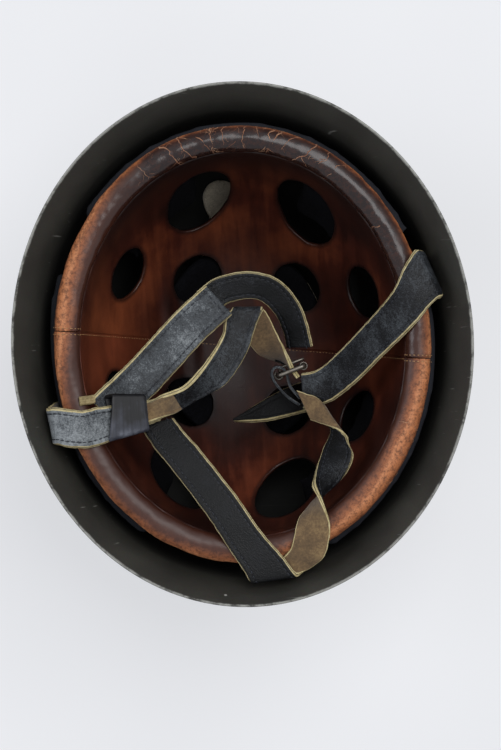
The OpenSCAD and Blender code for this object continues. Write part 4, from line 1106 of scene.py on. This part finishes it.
def keeper():
    """Closed leather loop round the strap, with rounded lips and a crease."""
    wide, high, wall, count = 21.2 / 2, 7.2 / 2, 1.8, 72
    quarters = [(q, math.pi / 2 * (q + n / (count // 4 - 1))) for q in range(4) for n in range(count // 4)]
    # Stations along the strap and how far the surface lies inside the wall there: outside, then back inside
    outside = [(-10.4, 0.8), (-10.25, 0.3), (-9.9, 0.0)] + [(s, 0.0) for s in np.linspace(-9, 8.5, 20)]
    outside += [(9.7, 0.0), (10.05, 0.3), (10.2, 0.8)]
    inside = [(10.2, 1.2), (9.9, 1.6)] + [(s, wall) for s in np.linspace(9.3, -9.5, 12)]
    inside += [(-10.1, 1.6), (-10.4, 1.2)]
    rings = outside + inside
    points, tone = [], []
    for n, (s, inset) in enumerate(rings):
        grow, outer = wall - inset, n < len(outside)
        # The loop narrows to the right, and its upper wall is pulled askew and folded along its length
        share = min(max((s + 10.4) / 20.5, 0), 1)
        ridge = 1.2 - 4.2 * share
        corner, reach = 0.4 + grow, wide + grow
        for q, a in quarters:
            x = (wide - 0.4) * (1 if q in (0, 3) else -1) + corner * math.cos(a)
            y = (high - 0.4) * (1 if q in (0, 1) else -1) + corner * math.sin(a)
            level = (x + reach) / (2 * reach)
            x_new = 2.6 - reach + level * (2 * reach + 0.2 - 4.8 * share)
            askew = (2.2 - 2.2 * share) * level - (6.4 - 3.2 * share) * (1 - level)
            lean = min(max((y + 1) / 3, 0), 1) * askew
            p = np.array([x_new, y + 1.65])
            if outer:
                p += unit([x, y]) * 0.15 * ripple(s / 5, x / 6, y / 5, 4)
                if y > 0:
                    p[1] -= 0.12 * max(x_new - ridge, 0) + 0.04 * max(ridge - x_new, 0)
            points.append(KNOT + KNOT_ALONG * (s + lean) - KNOT_ACROSS * p[0] + KNOT_UP * p[1])
            # Painted light for the material: 1 below the fold as if lit, 0 above it as if shaded, plus a
            # painted highlight just under the fold
            above = 1 / (1 + math.exp((x_new - ridge) / 0.5))
            tone.append(above + 0.9 * math.exp(-((x_new - ridge + 0.5) / 0.55) ** 2))
    girth, along = 66, [s for s, _ in rings + rings[:1]]
    uv = row_uv(along, [j * girth / count for j in range(count + 1)])
    mesh = make_mesh("leather_keeper", points, rows_of_quads(len(rings), count, round_rows=True), uv,
                     materials=[CALF], sheen=tone)
    settle(mesh, "keeper", "strap_leather", "strap_keeper")


# ---------------------------------------------------------------- buckle and rivets

BUCKLE_AT = np.array([26.8, -16.4, 91.0])
# Own X stands up, own Y goes from the prong's wire to the roller, own Z is the side where the prong lies
BUCKLE_X = np.array([0, 0, 1.0])
BUCKLE_Y = np.array([math.sin(math.radians(72)), math.cos(math.radians(72)), 0])
BUCKLE_Z = np.cross(BUCKLE_X, BUCKLE_Y)
BUCKLE_REACH, WIRE_RADIUS, PRONG_LIFT = 7.5, 1.3, 3.7


def at_buckle(x, y, z):
    return BUCKLE_AT + BUCKLE_X * x + BUCKLE_Y * y + BUCKLE_Z * z


def cut_away(mesh, shape):
    """A mesh with a closed shape of points and faces cut out of it."""
    points, faces = shape
    cutter = new_object("cutter", make_mesh("cutter", points, faces, [(0, 0)] * sum(len(f) for f in faces)))
    obj = new_object(mesh.name, mesh)
    cut = obj.modifiers.new("slot", "BOOLEAN")
    cut.operation, cut.solver, cut.object = "DIFFERENCE", "EXACT", cutter
    bake(obj)
    mesh = obj.data
    bpy.data.objects.remove(obj)
    bpy.data.objects.remove(cutter)
    return mesh


def buckle_box(low, high):
    """Box along the buckle's own axes."""
    points = [at_buckle(x, y, z) for x, y, z in product(*zip(low, high))]
    return points, [(0, 1, 3, 2), (4, 6, 7, 5), (0, 4, 5, 1), (2, 3, 7, 6), (0, 2, 6, 4), (1, 5, 7, 3)]


def buckle_rings(profile, sides, y, tube=False):
    """Rings round an upright line of the buckle, for each height and radius: a drum or the wall of a tube."""
    points = [at_buckle(x, y + a, b) for x, radius in profile for a, b in ring(sides, radius)]
    return points, rows_of_quads(len(profile), sides, round_rows=tube, caps=not tube)


def buckle():
    # Frame: one loop of wire, 22 by 15 mm, its corners bent round 1.6 mm
    width, length, bend = 11, BUCKLE_REACH, 1.6
    line = []
    for q, (sx, sy) in enumerate(((1, 1), (-1, 1), (-1, -1), (1, -1))):
        for n in range(7):
            a = math.pi / 2 * (q + n / 6)
            line.append(at_buckle(sx * (width - bend) + bend * math.cos(a),
                                  sy * (length - bend) + bend * math.sin(a), 0))
        if q in (0, 2):
            line += [at_buckle(x, sy * length, 0)
                     for x in np.linspace(sx * (width - bend), -sx * (width - bend), 7)[1:-1]]
    loop = rod(line, [WIRE_RADIUS] * len(line), 20, closed=True)
    settle(joined("buckle_wire_frame", [loop], WIRE), "chin_strap", "buckle_steel", "buckle_frame")

    # Roller: a tube with rolled ends
    profile = [(-9, 1.9), (-9, 2.15), (-8.8, 2.34), (-8.5, 2.4), (8.5, 2.4), (8.8, 2.34), (9, 2.15), (9, 1.9),
               (8.8, 1.62), (-8.8, 1.62)]
    roller = buckle_rings(profile, 40, BUCKLE_REACH, tube=True)
    settle(joined("buckle_roller_tube", [roller], WIRE), "roller", "buckle_steel", "buckle_roller")

    # Prong: wire bent round the end wire, then straight over the roller
    eye = 2.3
    line = [at_buckle(0, -BUCKLE_REACH + eye * math.cos(a), eye * math.sin(a))
            for a in np.radians(np.linspace(-250, 60, 22))]
    line += [at_buckle(0, y, z) for y, z in ((-5.6, 3.0), (-4.6, 3.55))]
    line += [at_buckle(0, y, PRONG_LIFT) for y in (-3, 2, BUCKLE_REACH, 9.2, 9.5)]
    radii = [0.75] * 22 + [0.85, 0.95, 1, 1, 0.98, 0.8, 0.4]
    settle(joined("buckle_prong_wire", [rod(line, radii, 14)], WIRE), "prong", "buckle_steel", "buckle_prong")


def rivet_tree():
    """Sets a rivet on each point, turned the way that the point faces."""
    tree, add, given = new_tree("set_rivets", Rivet="Object", Size="Float", Material="Material")
    rivet = add("GeometryNodeObjectInfo", given["Rivet"]).outputs["Geometry"]
    facing = add("GeometryNodeInputNamedAttribute", "facing", data_type="FLOAT_VECTOR")
    turn = add("FunctionNodeAlignRotationToVector", Vector=facing, axis="Z")
    points = add("GeometryNodeMeshToPoints", given["Geometry"])
    laid = add("GeometryNodeInstanceOnPoints", points, Instance=rivet, Rotation=turn, Scale=given["Size"])
    real = add("GeometryNodeRealizeInstances", laid)
    add("NodeGroupOutput", add("GeometryNodeSetMaterial", real, Material=given["Material"]))
    return tree


def rivets():
    """Domed heads outside the shell with their shanks, set on points that know which way they face."""
    sides = 28
    profile = [(0.02, 2.2), (1.2, 2.12), (2.4, 1.8), (3.4, 1.3), (4.1, 0.7), (4.45, 0.1), (4.5, -0.3),
               (4.3, -0.6), (2.0, -0.6), (2.0, -6.9), (0.02, -6.9)]
    points = [(x, y, z) for radius, z in profile for x, y in ring(sides, radius)]
    shape = points, rows_of_quads(len(profile), sides, caps=True)
    pattern = new_object("rivet_pattern", joined("rivet_pattern", [shape], ENAMEL))
    places, facings = [], []
    for angle in (RIGHT_STRAP_ANGLE, LEFT_STRAP_ANGLE):
        for depth in RIVET_DEPTHS:
            half = wall_half(depth)
            p = oval(angle, half, depth)
            level = math.atan2(p[1] / half[1] ** 2, p[0] / half[0] ** 2)
            lean = math.atan2(wall_half(depth - 2)[0] - wall_half(depth + 2)[0], 4)
            facings.append(turned([math.cos(lean), 0, -math.sin(lean)], math.degrees(level)))
            places.append((p + facings[-1] * (SHEET + 0.9)) * MM)
    mesh = bpy.data.meshes.new("strap_rivet_heads")
    mesh.from_pydata([tuple(p) for p in places], [], [])
    mesh.attributes.new("facing", "FLOAT_VECTOR", "POINT").data.foreach_set("vector", np.ravel(facings))
    obj = new_object("strap_rivet_heads", mesh)
    use_tree(obj, rivet_tree(), Rivet=pattern, Size=1.0, Material=ENAMEL)
    bpy.data.objects.remove(pattern)
    settle(obj, "helmet", "rivet_steel", "strap_rivets")


def bonnet_seams():
    """The ear to ear seam: one row of stitches beside the join, and two on over the lip at each ear."""
    lines, ear_reach = [], 96
    for side in (1, -1):
        line = []
        for dip in np.linspace(2, 89.5, 90):
            reach = side * BOWL_HALF[0] * math.cos(math.radians(dip))
            p = bonnet_shape(math.degrees(math.atan2(-1.0, reach)) + BONNET_TURN, dip)
            if math.hypot(p[0], p[1]) > 3:
                line.append(p - bonnet_out(p) * 0.12)
        lines.append(line)
    for shift in (-1.8, 1.6):
        for ear in (0, 180):
            angle = ear + BONNET_TURN + math.degrees(shift / ear_reach)
            lines.append([lip_point(angle, a, 0.4) for a in np.linspace(18, 172, 24)])
    obj = sew("bonnet_seam_stitches", lines, STRAW_THREAD, pitch=2.3, length=1.5, thick=0.42)
    settle(obj, "helmet", "liner_leather")


def dress_cad_node(node, material):
    """Keeps a CAD node whose shape is right and gives it its own material."""
    obj = NODES[node]
    if not obj.material_slots:
        obj.data.materials.append(material)
    for slot in obj.material_slots:
        slot.material = material


# ---------------------------------------------------------------- floor, light and camera

def background_rays(add):
    """1 for the rays that show the background: straight to the camera, off a shiny face or through glass."""
    path = add("LightPath").outputs
    seen = add("Math", path["Is Camera Ray"], path["Is Glossy Ray"], operation="MAXIMUM")
    return add("Math", seen, path["Is Transmission Ray"], operation="MAXIMUM")


def pale_board(add, place):
    # Pale matt board. The camera and mirrors see it lit evenly, with part of the object's shadow kept.
    tone = add("ValToRGB", add("TexNoise", place, 3, 2), stops=[(0.3, "#e9eaed"), (0.7, "#f0f1f4")])
    part = add("Math", background_rays(add), 0.6, operation="MULTIPLY")
    matt = add("BsdfPrincipled", Base_Color=tone, Roughness=0.85)
    return add("MixShader", part, matt, add("Emission", tone, 1))


def lamp(name, at, size, power, colour):
    """A square lamp that looks at the middle of the helmet."""
    data = bpy.data.lights.new(name, "AREA")
    data.shape, data.size, data.energy = "SQUARE", size, power
    data.color = linear(colour)[:3]
    obj = new_object(name, data)
    obj.location = at
    obj.rotation_euler = (Vector((0, 0, 0.1)) - Vector(at)).to_track_quat("-Z", "Y").to_euler()


def studio():
    reach = 3000
    corners = [(-reach, -reach, 0), (reach, -reach, 0), (reach, reach, 0), (-reach, reach, 0)]
    board = make_material("pale_board", pale_board)
    floor = new_object("floor", make_mesh("floor", corners, [(0, 1, 2, 3)], [(0, 0)] * 4, materials=[board],
                                          closed=False))

    world = bpy.data.worlds.new("studio")
    SCENE.world = world
    world.use_nodes = True
    sky = world.node_tree.nodes["Background"]
    sky.inputs["Color"].default_value = linear("#f2f4f8")
    add = partial(add_node, world.node_tree)
    strength = add("MapRange", background_rays(add), 0, 1, 0.55, 0.9)
    world.node_tree.links.new(strength.outputs[0], sky.inputs["Strength"])
    lamp("ceiling_box", (0.5, 0.55, 1.7), 1.1, 17, "#ffffff")
    lamp("window_side", (-1.4, 0.3, 1.2), 0.9, 7, "#f4f7ff")

    # Straight above, with the forehead at the top of the picture and a lean of 3.5 degrees
    data = bpy.data.cameras.new("camera")
    data.lens, data.sensor_width = 85, 36
    camera = new_object("camera", data)
    camera.location = (0, 0, 1.110)
    back = (camera.location - Vector((0.0032, -0.0164, SHELL_HEIGHT * MM))).normalized()
    up = back.cross(Vector((0.9981, -0.0609, 0))).normalized()
    camera.rotation_mode = "QUATERNION"
    camera.rotation_quaternion = Matrix((up.cross(back), up, back)).transposed().to_quaternion()
    SCENE.camera = camera
    SCENE.view_settings.view_transform = "Standard"


studio()
shell()
bonnet_panel("bonnet_front_leather", BONNET_TURN + 0.03, HIDE_FRONT, "liner_front_panel")
bonnet_panel("bonnet_rear_leather", BONNET_TURN + 180.03, HIDE_REAR, "liner_rear_panel")
lip_roll("lip_front_leather", BONNET_TURN, LIP_FRONT, "lip_roll_front", 3,
         ((0, 9), (30, 7), (55, 6), (90, 5.5), (118, 6), (142, 9), (160, 12), (180, 14)))
lip_roll("lip_rear_leather", BONNET_TURN + 180, LIP_REAR, "lip_roll_rear", 2,
         ((0, 13), (12, 9), (30, 7), (60, 6.5), (90, 8), (120, 13), (150, 15), (180, 12)))
lip_cracks()
for pad in ("front_pad", "front_left_pad", "front_right_pad", "left_pad", "right_pad", "crown_pad"):
    foam_pad(pad)
crown_felt()
felt_patch()
bonnet_seams()
for build in (left_side_strap, right_side_strap, strap_tail, neck_strap, chin_strap, chin_strap_extension,
              running_strap, buckle_loop, straw_tab, keeper, buckle, rivets):
    build()
dress_cad_node("strap_washers", ENAMEL)
